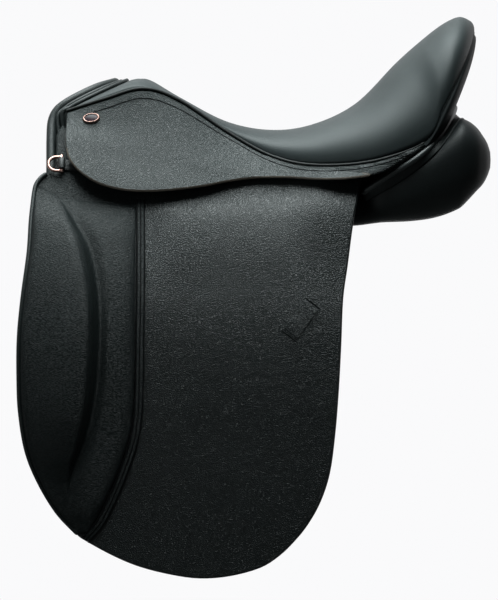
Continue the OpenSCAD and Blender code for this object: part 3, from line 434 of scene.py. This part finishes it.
# A place on the piping, from 1 at its left end over 0 in the middle to -1 at its right end.
def piping_at(w):
    p = spline(piping_points, 1 - abs(w))
    return Vector((p.x, math.copysign(p.y, w), p.z))


# A cord along a path, with rounded ends.
def tube(path, radius, round_by=12):
    n = len(path) - 1
    stations = []
    sideways = Vector((0, 0, 1)) if abs((path[1] - path[0]).normalized().y) > 0.9 else Vector((0, 1, 0))
    for i in range(n + 1):
        ahead = (path[min(i + 1, n)] - path[max(i - 1, 0)]).normalized()
        sideways = (sideways - ahead * sideways.dot(ahead)).normalized()
        stations.append((path[i], sideways, ahead.cross(sideways), ahead))

    def place(u, v):
        i = round(u * (n + 4)) - 2
        at, a, b, ahead = stations[min(max(i, 0), n)]
        past = -i if i < 0 else max(i - n, 0)
        r = radius(min(max(i, 0), n) / n) if callable(radius) else radius
        turn = 2 * math.pi * v
        at = at + ahead * (-1 if i < 0 else 1) * r * (0, 0.7, 1)[past]
        return at + (a * math.cos(turn) + b * math.sin(turn)) * r * (1, 0.7, 0)[past]

    return sheet(n + 4, round_by, place)


def bridge_place(u, v):
    k, t = 2 * u - 1, v
    low = Vector((bridge_x, k * bridge_half_w, panel_value(bridge_x, inner_z) + 9 - 5 * k * k))
    high = piping_at(bridge_share * k) - Vector((0, 0, piping_r + piping_over))
    p = mix(low, high, t)
    return Vector((p.x - 2 * math.sin(math.pi * t), mix(low.y, high.y, t ** 2.5), p.z))


bridge = piece("back_bridge", sheet(24, 14, bridge_place), panel_hide)
skin(bridge, 2)
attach(bridge, "saddle")
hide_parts("panel_bridge")
piping_hide = leather("piping_hide", (0.02, 0.026, 0.0265), 0.8, 0.03, 0.45, 0.45)
piping_path = [piping_at(1 - i / 60) for i in range(121)]
piping = piece("cantle_piping", tube(piping_path, piping_r + piping_over), piping_hide)
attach(piping, "saddle")
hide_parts("panel_piping")


def panel_edge_place(u, v):
    at = piping_at(mix(1, 0.2, u))
    x = at.x - mix(2, 13, u)
    onto = panel_place((panel_front - x) / (panel_front + panel_back), 0.04 + 0.27 * u ** 2.7)
    return mix(at, onto, v) - Vector((0, 0, 1.5 * math.sin(math.pi * v) + 0.4))


for side, thing in pair("panel_edge", sheet(60, 6, panel_edge_place), panel_hide):
    skin(thing, 1.5)
    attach(thing, "saddle")

# The seat: one blocked hide of smooth leather over foam, drawn down on the tree. It runs from the slanting
# cut of the head over the narrow twist into a deep dish and up to the cantle's rolled rim.
seat_leather_t = 2.4
edge_points = [Vector(p) for p in (  # the seat's left edge, from the head to the cantle
    (235, 64, 106.1), (192.2, 65, 119.8), (149.7, 62.5, 131.2), (110.2, 61, 119.2), (53.5, 70.5, 82.2),
    (3.4, 95.3, 55), (-46, 118.7, 45), (-111.7, 134, 50), (-168.6, 129, 72.3), (-186.2, 125, 104.7),
    (-203.2, 108, 140.2), (-216.8, 69.7, 173.9), (-223.4, 0, 196.1), (-216.8, -69.7, 173.9))]
middle_points = [Vector(p) for p in (  # its middle line, the same way
    (162, 0, 141.4), (153.1, 0, 142.6), (139.3, 0, 140), (106.6, 0, 120.9), (55.1, 0, 94.4), (5.2, 0, 85),
    (-41.6, 0, 91.4), (-89.8, 0, 114.8), (-134.7, 0, 159.9), (-163.2, 0, 185.3), (-187.2, 0, 203.7),
    (-205.9, 0, 212), (-218.6, 0, 207.6))]


def seat_edge(u):
    return spline(edge_points, u * 12 / 13)


def seat_middle(u):
    return spline(middle_points, u)


# A place on the seat: u runs from the head to the cantle, v from the right edge to the left.
def seat_point(u, v):
    m, e = seat_middle(u), seat_edge(u)
    a, f = math.radians(90 * min(abs(v), 1)), smooth(0, 0.2, u)
    crown = mix(1.9, 2.5, f)
    across, up = math.sin(a) ** (2 / crown), max(math.cos(a), 0) ** (2 / crown)
    x = mix(m.x, e.x, mix(1 - up, across * across, f))
    return Vector((x, math.copysign(e.y * across, v), mix(e.z, m.z, up)))


seat_hide = leather("seat_hide", (0.022, 0.0302, 0.0312), 0.7, 0.02, 0.56, 0.25)
seat = piece("seat", sheet(140, 72, lambda u, v: seat_point(u, 2 * v - 1)), seat_hide)
skin(seat, seat_leather_t)
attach(seat, "saddle")
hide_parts("seat_cover", "seat_foam")

# The back of the cantle: a facing of soft leather from the seat's rim down to the piping, with a thin
# cord covered in leather along the rim.


def facing_place(u, v):
    w, t = 1 - 2 * u, v
    rim = seat_edge(1 - 0.4 * abs(w))
    rim = Vector((rim.x, math.copysign(rim.y, w), rim.z))
    low = piping_at(0.89 * w) + Vector((0, 0, 1.5))
    away = Vector((rim.x + 109.5, rim.y, 0)).normalized()
    full = 1 - smooth(0.6, 0.85, abs(w))
    return mix(rim, low, t) + away * (mix(-2, -0.8 + 1.8 * full, smooth(0, 0.1, t))
                                      + 5.4 * full * math.sin(math.pi * t ** 0.7))


facing_hide = leather("facing_hide", (0.008, 0.0105, 0.011), 0.8, 0.03, 0.6, 0.08)
facing = piece("cantle_back", sheet(80, 24, facing_place), facing_hide)
skin(facing, 2)
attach(facing, "saddle")
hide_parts("cantle_facing")
rim_path = [facing_place(mix(0.17, 0.83, i / 90), 0.02) for i in range(91)]
rim_cord = piece("rim_cord", tube(rim_path, 1.4), facing_hide)
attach(rim_cord, "saddle")

# The welts: leather folded over a cord and sewn in between the seat and each skirt, from the head
# back to where the skirt's tail dies out under the cantle.
welt_r = 2.2
welt_hide = leather("welt_hide", (0.008, 0.01, 0.01), 0.8, 0.03, 0.5, 0.15)


def welt_point(u):
    return seat_edge(u) + Vector((0, welt_r + 0.6, -0.6))


welt_path = [welt_point(mix(0.004, 0.66, i / 90)) for i in range(91)]
made = tube(welt_path, lambda t: 1.9 * (1 - 0.6 * smooth(0.9, 1, t)))
for side, thing in pair("welt", made, welt_hide):
    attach(thing, "saddle")
    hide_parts(side + "_seat_welt")

# The head: a padded roll round the cut-back pommel, two thin pipings between it and the seat, and soft
# leather behind them that closes the front and lines the arch.
lean = math.radians(33)
half_w = 125
roll_r, head_piping_r = 5.5, 2.6
# How far the roll stands off the front of the seat, from its side to its middle.
roll_steps = ((1, (15.8, -7, -12)), (0.9, (20.4, -12, -5)), (0.8, (20, -13, -1.3)), (0.65, (18.5, -13, 0.5)),
              (0.45, (18.5, -12, 0)), (0.2, (18.5, -6, -2.6)))
middle_step = Vector((19, 0, -3.4))


# A place on the leaning side of the saddle: s down the slope, d out from it.
def side_point(x, s, d):
    y = half_w + s * math.sin(lean) + d * math.cos(lean)
    return Vector((x, y, d * math.sin(lean) - s * math.cos(lean)))


def side_s(z, d=0.0):
    return (d * math.sin(lean) - z) / math.cos(lean)


def head_path(ends, f, count):
    half = ends + [seat_point(0, v) + f * Vector(step) for v, step in roll_steps]
    whole = half + [seat_point(0, 0) + f * middle_step] + [Vector((p.x, -p.y, p.z)) for p in reversed(half)]
    return [spline(whole, i / count) for i in range(count + 1)]


roll_hide = leather("roll_hide", (0.0125, 0.0172, 0.0174), 0.8, 0.03, 0.48, 0.26)
roll_ends = [side_point(252, side_s(z), -roll_r - 0.3) for z in (34, 55, 78)]
roll = piece("head_roll", tube(head_path(roll_ends, 1, 90), roll_r, 16), roll_hide)
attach(roll, "saddle")
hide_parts("pommel_roll")
inner_ends = [p + Vector((-15, -2, 0)) for p in roll_ends[1:]]
inner_piping = piece("head_piping", tube(head_path(inner_ends, 0.3, 80), head_piping_r), roll_hide)
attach(inner_piping, "saddle")
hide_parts("head_facing")
outer_ends = [p + Vector((-9, -1, 0)) for p in roll_ends[1:]]
outer_piping = piece("head_piping_outer", tube(head_path(outer_ends, 0.62, 80), head_piping_r), roll_hide)
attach(outer_piping, "saddle")
head_rows = []
for f, back in ((0.05, 1.5), (0.45, 1.8), (0.95, 3), (1.05, 6), (0.6, 14)):
    ends = [p + Vector((-17 * (1 - min(f, 1)), -2, 0)) for p in roll_ends]
    head_rows.append([p + Vector((-back, 0, -back * 0.6)) for p in head_path(ends, f, 80)])


def head_face_place(u, v):
    return head_rows[round(v * 4)][round(u * 80)]


head_face = piece("head_lining", sheet(80, 4, head_face_place), roll_hide)
skin(head_face, 1.5)
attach(head_face, "saddle")

# The sweat flaps: plain leather hanging next to the horse, a little smaller than the flaps, with the girth
# straps between the two. The edges are rounded.
flap_t, flap_front, flap_w, flap_len, flap_turn = 4.5, 288, 363, 417, 110
sweat_t, girth_room, sweat_margin = 3.5, 7, 14
sweat_top = 7
# The flap's outline as shares of its width and length, from the front round its bottom to the back.
flap_curve = [(0.04, 0), (0.034, 0.053), (0.028, 0.134), (0.01, 0.254), (-0.001, 0.36), (-0.002, 0.468),
              (0.003, 0.556), (0.022, 0.657), (0.059, 0.739), (0.115, 0.819), (0.176, 0.878), (0.207, 0.899),
              (0.294, 0.94), (0.375, 0.969), (0.471, 0.99), (0.559, 1), (0.651, 0.994), (0.744, 0.972),
              (0.803, 0.94), (0.852, 0.899), (0.893, 0.854), (0.931, 0.794), (0.959, 0.719), (0.975, 0.619),
              (0.986, 0.504), (0.994, 0.377), (1, 0.254), (1.014, 0.168), (1.028, 0.086), (1.047, 0)]


def flap_at(fx, fz):
    return flap_front - fx * flap_w, -fz * flap_len


# The flap leans out where it bends and hangs straight further down; d is the distance out from its inside.
def hang(z, d):
    t = math.tanh(-z / flap_turn)
    a = math.atan(math.tan(lean) * (1 - t * t))
    return half_w + math.tan(lean) * flap_turn * t + d * math.cos(a), z + d * math.sin(a)


def flap_point(x, d, z):
    d += 12 * smooth(0, -60, x) * smooth(-70, 10, z)
    d += 7 * smooth(150, 110, x) * smooth(-100, -18, z) * smooth(16, -18, z)
    if z >= 0:
        return side_point(x, side_s(z), d)
    y, up = hang(z, d)
    return Vector((x, y, up))


# Leather cut flat to an outline, with its edges rounded; bend_board then puts every corner in place.
def board(outline, thick, step, bullnose, edge_index=0):
    made = bmesh.new()
    ring = [Vector((x, 0, z)) for x, z in outline]
    n = len(ring)
    rim = [ring[i] - ((ring[(i + 1) % n] - ring[i - 1]).normalized().cross(Vector((0, 1, 0)))) * bullnose
           for i in range(n)]
    bmesh.ops.contextual_create(made, geom=[made.verts.new(p) for p in rim])
    xs, zs = [p.x for p in rim], [p.z for p in rim]
    for k in range(1, int((max(xs) - min(xs)) / step[0]) + 1):
        bmesh.ops.bisect_plane(made, geom=made.verts[:] + made.edges[:] + made.faces[:], dist=0.05,
                               plane_co=(min(xs) + k * step[0], 0, 0), plane_no=(1, 0, 0))
    for k in range(1, int((max(zs) - min(zs)) / step[1]) + 1):
        bmesh.ops.bisect_plane(made, geom=made.verts[:] + made.edges[:] + made.faces[:], dist=0.05,
                               plane_co=(0, 0, min(zs) + k * step[1]), plane_no=(0, 0, 1))
    grown = bmesh.ops.extrude_face_region(made, geom=made.verts[:] + made.edges[:] + made.faces[:],
                                          use_keep_orig=True)
    top = [g for g in grown["geom"] if isinstance(g, bmesh.types.BMVert)]
    bmesh.ops.translate(made, verts=top, vec=(0, thick, 0))
    wall = [e for e in made.edges if abs(e.verts[0].co.y - e.verts[1].co.y) > thick / 2]
    bmesh.ops.subdivide_edges(made, edges=wall, cuts=3, use_grid_fill=True)
    bmesh.ops.recalc_face_normals(made, faces=made.faces)
    made.normal_update()
    middle = thick / 2
    for corner in [v for v in made.verts if 0.01 < v.co.y < thick - 0.01]:
        away = Vector((corner.normal.x, 0, corner.normal.z)).normalized()
        corner.co += away * bullnose * math.sqrt(1 - ((corner.co.y - middle) / middle) ** 2)
    for face in made.faces:
        face.material_index = 0 if abs(face.normal.y) > 0.99 else edge_index
    for e in made.edges:
        flat = [abs(f.normal.y) > 0.99 for f in e.link_faces]
        if any(flat) and not all(flat):
            e.smooth = False
    return made


def bend_board(made, place):
    for corner in made.verts:
        corner.co = place(*corner.co) * mm


sweat_hide = leather("sweat_hide", (0.013, 0.0155, 0.0155), 1.0, 0.05, 0.48, 0.4)
curve = [Vector((*flap_at(*p), 0)) for p in flap_curve]
middle_x = flap_front - flap_w / 2
narrower, shorter = 1 - 2 * sweat_margin / flap_w, 1 - sweat_margin / flap_len
outline = [(middle_x + (p.x - middle_x) * narrower, p.y * shorter)
           for p in [spline(curve, i / 100) for i in range(101)]]
outline = [(x, z if z < -4 else sweat_top) for x, z in outline]
made = board(outline, sweat_t, (16, 12), 1.4)
bend_board(made, lambda x, y, z: flap_point(x, y - girth_room - sweat_t, z))
for side, thing in pair("sweat_leather", made, sweat_hide, outward=False):
    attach(thing, "saddle")
    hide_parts(side + "_sweat_flap")

# The flaps: one long piece of grained leather a side, nailed to the tree under the skirt with a notch for
# the stirrup bar, bending outward at its top and hanging straight below. The edges are rounded, and where
# the knee pad lies the flap has the pad's softer leather.
flap_top = [(-96, 26), (-60, 28), (0, 34), (50, 42), (104, 50), (112, 33), (206, 33), (206, 88),
            (239.5, 88), (246.5, 76), (246.5, 52), (248.5, 38), (256.5, 33), (264.5, 28), (268.5, 22),
            (271.5, 12)]
pad_low = -366
flap_hide = leather("flap_hide", (0.0082, 0.0115, 0.0118), 2.0, 0.28, 0.4, 0.28)
pad_hide = leather("pad_hide", (0.01, 0.0138, 0.014), 1.5, 0.22, 0.48, 0.115, (0.3, 0.5, 1.7))
back_line = [(30, 157), (-5, 157), (-71, 157.4), (-142, 158.1), (-242, 161), (-296, 175.9), (-346, 198),
             (-375, 211.8)]
outline = [(p.x, p.y) for p in [spline(curve, i / 116) for i in range(117)]] + flap_top
made = board(outline, flap_t, (12, 8), 1.9)
for face in made.faces:
    at = face.calc_center_median()
    face.material_index = 1 if at.z > pad_low and at.x > along(back_line, at.z) else 0
bend_board(made, flap_point)


def turns_with_flap(thing):
    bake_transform(thing)


for side, thing in pair("flap_leather", made, flap_hide, pad_hide, outward=False):
    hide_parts(side + "_flap", side + "_flap_top")
    turns_with_flap(thing)

# The knee pads: soft leather over foam along the front of the flap, with a long thigh block under it that
# rises to a steep wall behind. A piping runs down the front edge.
pad_base = 4.5
# By height: the front edge of the pad, the wall behind the block, and how far the block stands out.
front_line = [(31, 258), (27, 263), (20, 268), (12, 270), (0, 271.5), (-22, 273.7), (-56, 275.8),
              (-106, 282.4), (-150, 286.4), (-195, 286.7), (-232, 285), (-274, 278), (-308, 264.6),
              (-342, 244.3), (-366, 222)]
wall_line = [(30, 249), (12, 245), (0, 237), (-25, 224), (-55, 209), (-101, 200), (-163, 199), (-226, 205),
             (-273, 217), (-291, 225), (-330, 230), (-375, 214)]
block_line = [(5, 0), (-12, 2), (-33, 7), (-58, 13), (-108, 19), (-179, 21), (-238, 18.5), (-279, 11),
              (-309, 3), (-334, 0)]


def pad_place(u, v):
    top = mix(25, -7, u)
    z = mix(top, pad_low, v)
    front, back = along(front_line, z) - 1.5, along(back_line, z) + 0.8
    wall, high = min(along(wall_line, z), front - 3), max(along(block_line, z), 0)
    wall = max(wall, back + 6)
    crease = smooth(15, -30, z) * smooth(-320, -285, z)
    crest = mix(0.72, 0.82, smooth(-40, -130, z))
    base = 8 * smooth(0, 45, top - z) ** 0.6 * smooth(-384, -330, z)
    # Across the pad: up from its front edge, over the block's crest, down the wall and back to the binding.
    across = [Vector(p) for p in (
        (front + 0.5, -0.4), (front, base * 0.5), (mix(front, wall, 0.07), base * 0.95 + high * 0.12),
        (mix(front, wall, 0.28), base + high * 0.45), (mix(front, wall, 0.54), base + high * 0.82),
        (mix(front, wall, crest), base + high), (mix(front, wall, crest * 0.5 + 0.51), base + high * 0.7),
        (mix(wall, back, 0.02), base * mix(1, 0.62, crease)), (mix(wall, back, 0.3), base * 1.02),
        (mix(wall, back, 0.72), base), (back + 0.6, base * 0.5), (back, -0.4))]
    p = spline(across, u)
    return flap_point(p.x, pad_base + p.y, z)


made = sheet(88, 130, pad_place)
for side, thing in pair("pad_cover", made, pad_hide):
    skin(thing, 1.5)
    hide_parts(side + "_knee_pad", side + "_thigh_block")
    turns_with_flap(thing)
edge = [(p[1] + 0.4, p[0]) for p in front_line]
edge_path = [spline([Vector((*p, 0)) for p in edge], i / 110) for i in range(111)]
made = tube([flap_point(p.x, pad_base + 1.0, p.y) for p in edge_path], 2.6)
for side, thing in pair("pad_piping", made, roll_hide):
    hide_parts(side + "_pad_piping")
    turns_with_flap(thing)

# The bindings: a strip of leather that covers the back edge of each pad, sewn down with two rows of waxed
# thread that lie in pressed grooves. A third groove runs along its rear edge. All three grooves are drawn as
# dark cords of painted shade.
binding_w, binding_t, binding_steps = 10, 2.4, 90
stitch_gap, thread_r = 3.6, 0.42
thread, net, shader = material("waxed_thread", (0.02, 0.021, 0.022), 0.5)
twist = texture(net, "Wave", 900, Distortion=2)
shades(net, twist.outputs["Fac"], shader.inputs["Base Color"],
       [(0.2, (0.012, 0.013, 0.013)), (0.8, (0.05, 0.053, 0.054))])
relief(net, shader, twist.outputs["Fac"], 0.0001)
# The dark of the grooves and slits is painted shade: near-black cords, mottled a little.
groove_shade, net, shader = material("groove_shade", (0.004, 0.004, 0.005), 0.8)
groove_mottle = texture(net, "Noise", 300, Detail=3)
shades(net, groove_mottle.outputs["Fac"], shader.inputs["Base Color"],
       [(0.3, (0.003, 0.003, 0.004)), (0.7, (0.009, 0.01, 0.01))])
shader.inputs["Specular IOR Level"].default_value = 0.05
binding_line = [(2, 157), (-71, 156.6), (-142, 157.3), (-242, 160.2), (-296, 175), (-346, 197.2), (-364, 211),
                (-370, 216.3)]
binding_path = [spline([Vector((x, z, 0)) for z, x in binding_line], i / binding_steps)
                for i in range(binding_steps + 1)]


def across_binding(i, f):
    ahead = (binding_path[min(i + 1, binding_steps)] - binding_path[max(i - 1, 0)]).normalized()
    return binding_path[i] + Vector((ahead.y, -ahead.x, 0)) * binding_w * f


def binding_place(u, v):
    p = across_binding(round(u * binding_steps), v)
    round_off = min(v, 1 - v) * binding_w
    full = math.sqrt(1 - max(1 - round_off / 1.5, 0) ** 2)
    return flap_point(p.x, flap_t - 0.3 + (binding_t + 0.3) * full, p.y)


def stitches(made, path, gap, material_index):
    done = 0.0
    placed = 0
    for a, b in zip(path, path[1:]):
        done += (b - a).length
        if done < (placed + 1) * gap:
            continue
        placed += 1
        turn = (b - a).to_track_quat("X", "Z").to_matrix().to_4x4()
        turn.translation = a * mm
        bead = bmesh.ops.create_icosphere(made, subdivisions=1, radius=mm)
        bmesh.ops.scale(made, vec=(gap * 0.36, thread_r, thread_r), verts=bead["verts"])
        bmesh.ops.transform(made, matrix=turn, verts=bead["verts"])
        for face in {f for v in bead["verts"] for f in v.link_faces}:
            face.material_index = material_index


# A groove drawn as a dark cord along the path: painted shade.
def groove(made, path, r, material_index):
    line = tube(path, r, 8)
    for face in line.faces:
        face.material_index = material_index
    scrap = bpy.data.meshes.new("groove")
    line.to_mesh(scrap)
    made.from_mesh(scrap)
    bpy.data.meshes.remove(scrap)
    line.free()


made = sheet(binding_steps, 14, binding_place)
bmesh.ops.recalc_face_normals(made, faces=made.faces)
for f, r, sunk, is_sewn in ((0.14, 0.9, 0.2, True), (0.54, 0.8, 0.2, True), (0.95, 0.9, 1.2, False)):
    line = [across_binding(i, f) for i in range(binding_steps + 1)]
    if is_sewn:
        fine = [spline(line, i / 900) for i in range(901)]
        stitches(made, [flap_point(p.x, flap_t + binding_t + 0.2, p.y) for p in fine], stitch_gap, 1)
    groove(made, [flap_point(p.x, flap_t + binding_t - sunk, p.y) for p in line], r, 2)
for side, thing in pair("binding_strip", made, pad_hide, thread, groove_shade):
    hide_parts(side + "_pad_binding")
    turns_with_flap(thing)

# The keepers: a short strap laid slantwise through two slits in the flap, to hold the loose end of the
# stirrup leather.
keeper_len, keeper_w, keeper_t, keeper_tilt = 44, 17, 1.4, math.radians(37)
keeper_x, keeper_z = flap_at(0.87, 0.31)


def keeper_place(a, d, b):
    x = keeper_x + a * math.sin(keeper_tilt) - b * math.cos(keeper_tilt)
    z = keeper_z - a * math.cos(keeper_tilt) - b * math.sin(keeper_tilt)
    return flap_point(x, flap_t + d, z)


half, wide, r = keeper_len / 2, keeper_w / 2, 1.5
outline = []
for cx, cz, start in ((half - r, wide - r, 0), (r - half, wide - r, 90),
                      (r - half, r - wide, 180), (half - r, r - wide, 270)):
    for k in range(5):
        t = math.radians(start + 22.5 * k)
        outline.append((cx + r * math.cos(t), cz + r * math.sin(t)))
made = board(outline, keeper_t, (3, 3), 0.5)
bend_board(made, lambda a, d, b: keeper_place(a, d - 0.75 - 0.9 * smooth(half - 4, half, abs(a)), b))
# The slits: a dark cord across each end of the strap, painted shade where the strap goes through the flap.
for end in (-1, 1):
    slit = [keeper_place(end * (half + 0.3), 0, mix(-wide - 1, wide + 1, i / 12)) for i in range(13)]
    groove(made, slit, 0.55, 1)
for side, thing in pair("keeper_strap", made, flap_hide, groove_shade):
    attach(thing, side + "_flap")
    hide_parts(side + "_leather_keeper")

# The skirts: one piece of bridle leather a side, lying over the stirrup bar and sewn along the welt with a
# row of stitches in a groove. The lobe in front has a lighter edge, and the narrow tail runs back under
# the cantle.
skirt_off, skirt_t = 13.8, 3.5
skirt_out = skirt_off + skirt_t
tail_flare = 47
edge_curl = -3
# The lower edge of the skirt, from its front to the end of its tail.
skirt_curve = [(236, 80), (235.5, 66), (231, 50), (219, 35.5), (199, 23), (174, 16), (148, 14), (117, 15.5),
               (81, 20.5), (53, 26.5), (24, 30.5), (-11, 31), (-47, 29), (-82, 30), (-118, 36), (-140, 48.5),
               (-155, 58), (-166, 67)]


# How far along the seat's edge the place at x lies.
def edge_u(x):
    low, high = 0.0, 0.75
    for _ in range(24):
        u = (low + high) / 2
        low, high = (u, high) if seat_edge(u).x > x else (low, u)
    return (low + high) / 2


def bend_z(x):
    return mix(31, 78, (x - 15) / 221)


def skirt_top(x):
    w = welt_point(edge_u(x))
    return Vector((x, w.y + 1.6, w.z - 1.6))


def skirt_lift(x):
    return mix(12.5, skirt_out, smooth(30, 120, x))


def skirt_low(x):
    z, d = max(bend_z(x), along(skirt_curve, x)), skirt_lift(x)
    p = side_point(x, side_s(z, d), d)
    top = skirt_top(x)
    slant = math.radians(mix(tail_flare, 15, smooth(-105, -150, x)))
    flare = top.y + max(top.z - z, 0) * math.tan(slant)
    return Vector((x, mix(p.y, flare, smooth(30, -66, x)), z))


out = Vector((0, math.cos(lean), math.sin(lean)))


def skirt_point(x, y, z):
    top, low = skirt_top(x), skirt_low(x)
    if z < low.z:
        d = skirt_lift(x)
        p = side_point(x, side_s(z, d), d) if x > 15 else Vector((x, low.y, z))
        p = p - out * edge_curl * smooth(low.z, low.z - 45, z)
    else:
        high = max(top.z - low.z, 1.5)
        t = min(max((low.z + high - z) / high, -0.2), 1)
        hollow = -mix(0.02, 0.07, smooth(110, 200, x))
        p = mix(Vector((x, top.y, low.z + high)), low, t)
        p = p + out * math.sin(math.pi * max(t, 0)) * high * hollow
    return p - out * (skirt_t - y)


def seam_drop(x):
    return mix(mix(8.5, 4.5, smooth(130, 30, x)), 3, smooth(-60, -150, x))


skirt_hide = leather("skirt_hide", (0.017, 0.0235, 0.0238), 1.8, 0.32, 0.45, 0.3)
top_line = [(x, skirt_top(x).z) for x in [-166 + 400.5 * i / 70 for i in range(71)]]
low_line = [spline([Vector((*p, 0)) for p in skirt_curve], i / 130) for i in range(131)]
made = board([(p.x, p.y) for p in low_line] + top_line, skirt_t, (7, 6), 1.4, 2)
# Faces of index 2 keep the lighter edge leather only along the lobe's bottom and front: the raw edge's brown,
# made light as a painted highlight.
for face in made.faces:
    at = face.calc_center_median()
    if face.material_index == 2 and (at.z > along(skirt_curve, at.x) + 4 or at.x < -105):
        face.material_index = 0
bend_board(made, skirt_point)
sewn = [skirt_point(x, skirt_t - 0.1, skirt_top(x).z - seam_drop(x))
        for x in [205 - 355 * i / 1400 for i in range(1401)]]
stitches(made, sewn, stitch_gap, 1)
# The groove that the stitches lie in: a dark cord, painted shade.
groove(made, sewn[::10], 0.6, 3)
line_front, line_back = skirt_low(236), skirt_low(30)
line = (line_front - line_back).normalized()
up_slope = Vector((0, -math.sin(lean), math.cos(lean)))
up_slope = (up_slope - line * up_slope.dot(line)).normalized()
# The cut edge: the brown of raw leather, made lighter to stand in for the highlight along it.
raw_edge_and_highlight = leather("raw_edge_and_highlight", (0.14, 0.118, 0.095), 0.6, 0.03, 0.5, 0.4)
for side, thing in pair("skirt_leather", made, skirt_hide, thread, raw_edge_and_highlight, groove_shade, outward=False):
    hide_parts(side + "_skirt", side + "_skirt_top")
    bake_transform(thing)

# The skirt linings: a plain strip of leather under each skirt, from the seat's edge down to the top of the
# flap, which closes the tree and the panel's top from view.


def under_place(u, v):
    x = mix(96, -94, u)
    high = seat_edge(edge_u(x)) - Vector((0, 2, 2.5))
    low = flap_point(x, 0.4, along(flap_top[4::-1], x) - 3)
    return mix(high, low, v)


for side, thing in pair("skirt_lining", sheet(40, 4, under_place), sweat_hide):
    skin(thing, 1.5)
    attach(thing, "saddle")

# The studs: a plain oval cap of dark enamel in a polished rose-gold rim, set flat on the front of each skirt
# a little below the welt.
stud_w, stud_h, stud_x = 20, 13, 207
cap_high, rim_high, rim_from, rim_to = 2.4, 2.2, 0.72, 0.92
rose_gold, net, shader = material("rose_gold", (0.4, 0.25, 0.21), 0.35, 1.0)
wear = texture(net, "Noise", 90, Detail=4)
shades(net, wear.outputs["Fac"], shader.inputs["Base Color"],
       [(0.3, (0.34, 0.2, 0.17)), (0.7, (0.48, 0.3, 0.26))])
shades(net, wear.outputs["Fac"], shader.inputs["Roughness"], [(0.3, (0.26,) * 3), (0.7, (0.42,) * 3)])
enamel, net, shader = material("dark_enamel", (0.02, 0.01, 0.014), 0.3)
flow = texture(net, "Noise", 160, Detail=2)
shades(net, flow.outputs["Fac"], shader.inputs["Base Color"],
       [(0.3, (0.014, 0.006, 0.01)), (0.7, (0.036, 0.016, 0.024))])
relief(net, shader, flow.outputs["Fac"], 0.00005)
shader.inputs["Specular IOR Level"].default_value = 0.2


def skirt_quarter(x):
    top, low = skirt_top(x), skirt_low(x)
    return skirt_point(x, skirt_t, mix(top.z, low.z, 0.36))


stud_at = skirt_quarter(stud_x)
stud_ahead = (skirt_quarter(stud_x + 10) - skirt_quarter(stud_x - 10)).normalized()
stud_out = (out - stud_ahead * out.dot(stud_ahead)).normalized()
stud_down = stud_out.cross(stud_ahead)


def stud_place(u, v):
    turn = 2 * math.pi * v
    reach = Vector((math.cos(turn) * stud_w / 2, math.sin(turn) * stud_h / 2))
    up = cap_high - 0.9 * u * u
    if u > rim_from:
        up = rim_high + 0.7 * math.sin(math.pi * (u - rim_from) / 0.2)
    if u >= rim_to:
        up = mix(rim_high, 0, (u - rim_to) / 0.08)
    return stud_at + (stud_ahead * reach.x + stud_down * reach.y) * min(u * 1.02, 1) + stud_out * up


made = sheet(25, 40, stud_place)
for face in made.faces:
    from_middle = face.calc_center_median() / mm - stud_at
    share = math.hypot(from_middle.dot(stud_ahead) / stud_w * 2, from_middle.dot(stud_down) / stud_h * 2)
    face.material_index = 0 if share > 0.74 else 1
for side, thing in pair("skirt_cap", made, rose_gold, enamel):
    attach(thing, "saddle")
    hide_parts(side + "_skirt_stud")

# The dee rings: bent rose-gold wire that swings in the loop of a leather chape, which a nail holds to the
# front of the flap's top.
for side in sides:
    dress(side + "_dee_ring", rose_gold, 0.0002)
    dress(side + "_dee_nail", rose_gold, 0.0003)
    dress(side + "_dee_chape", strap_hide, 0.0005)
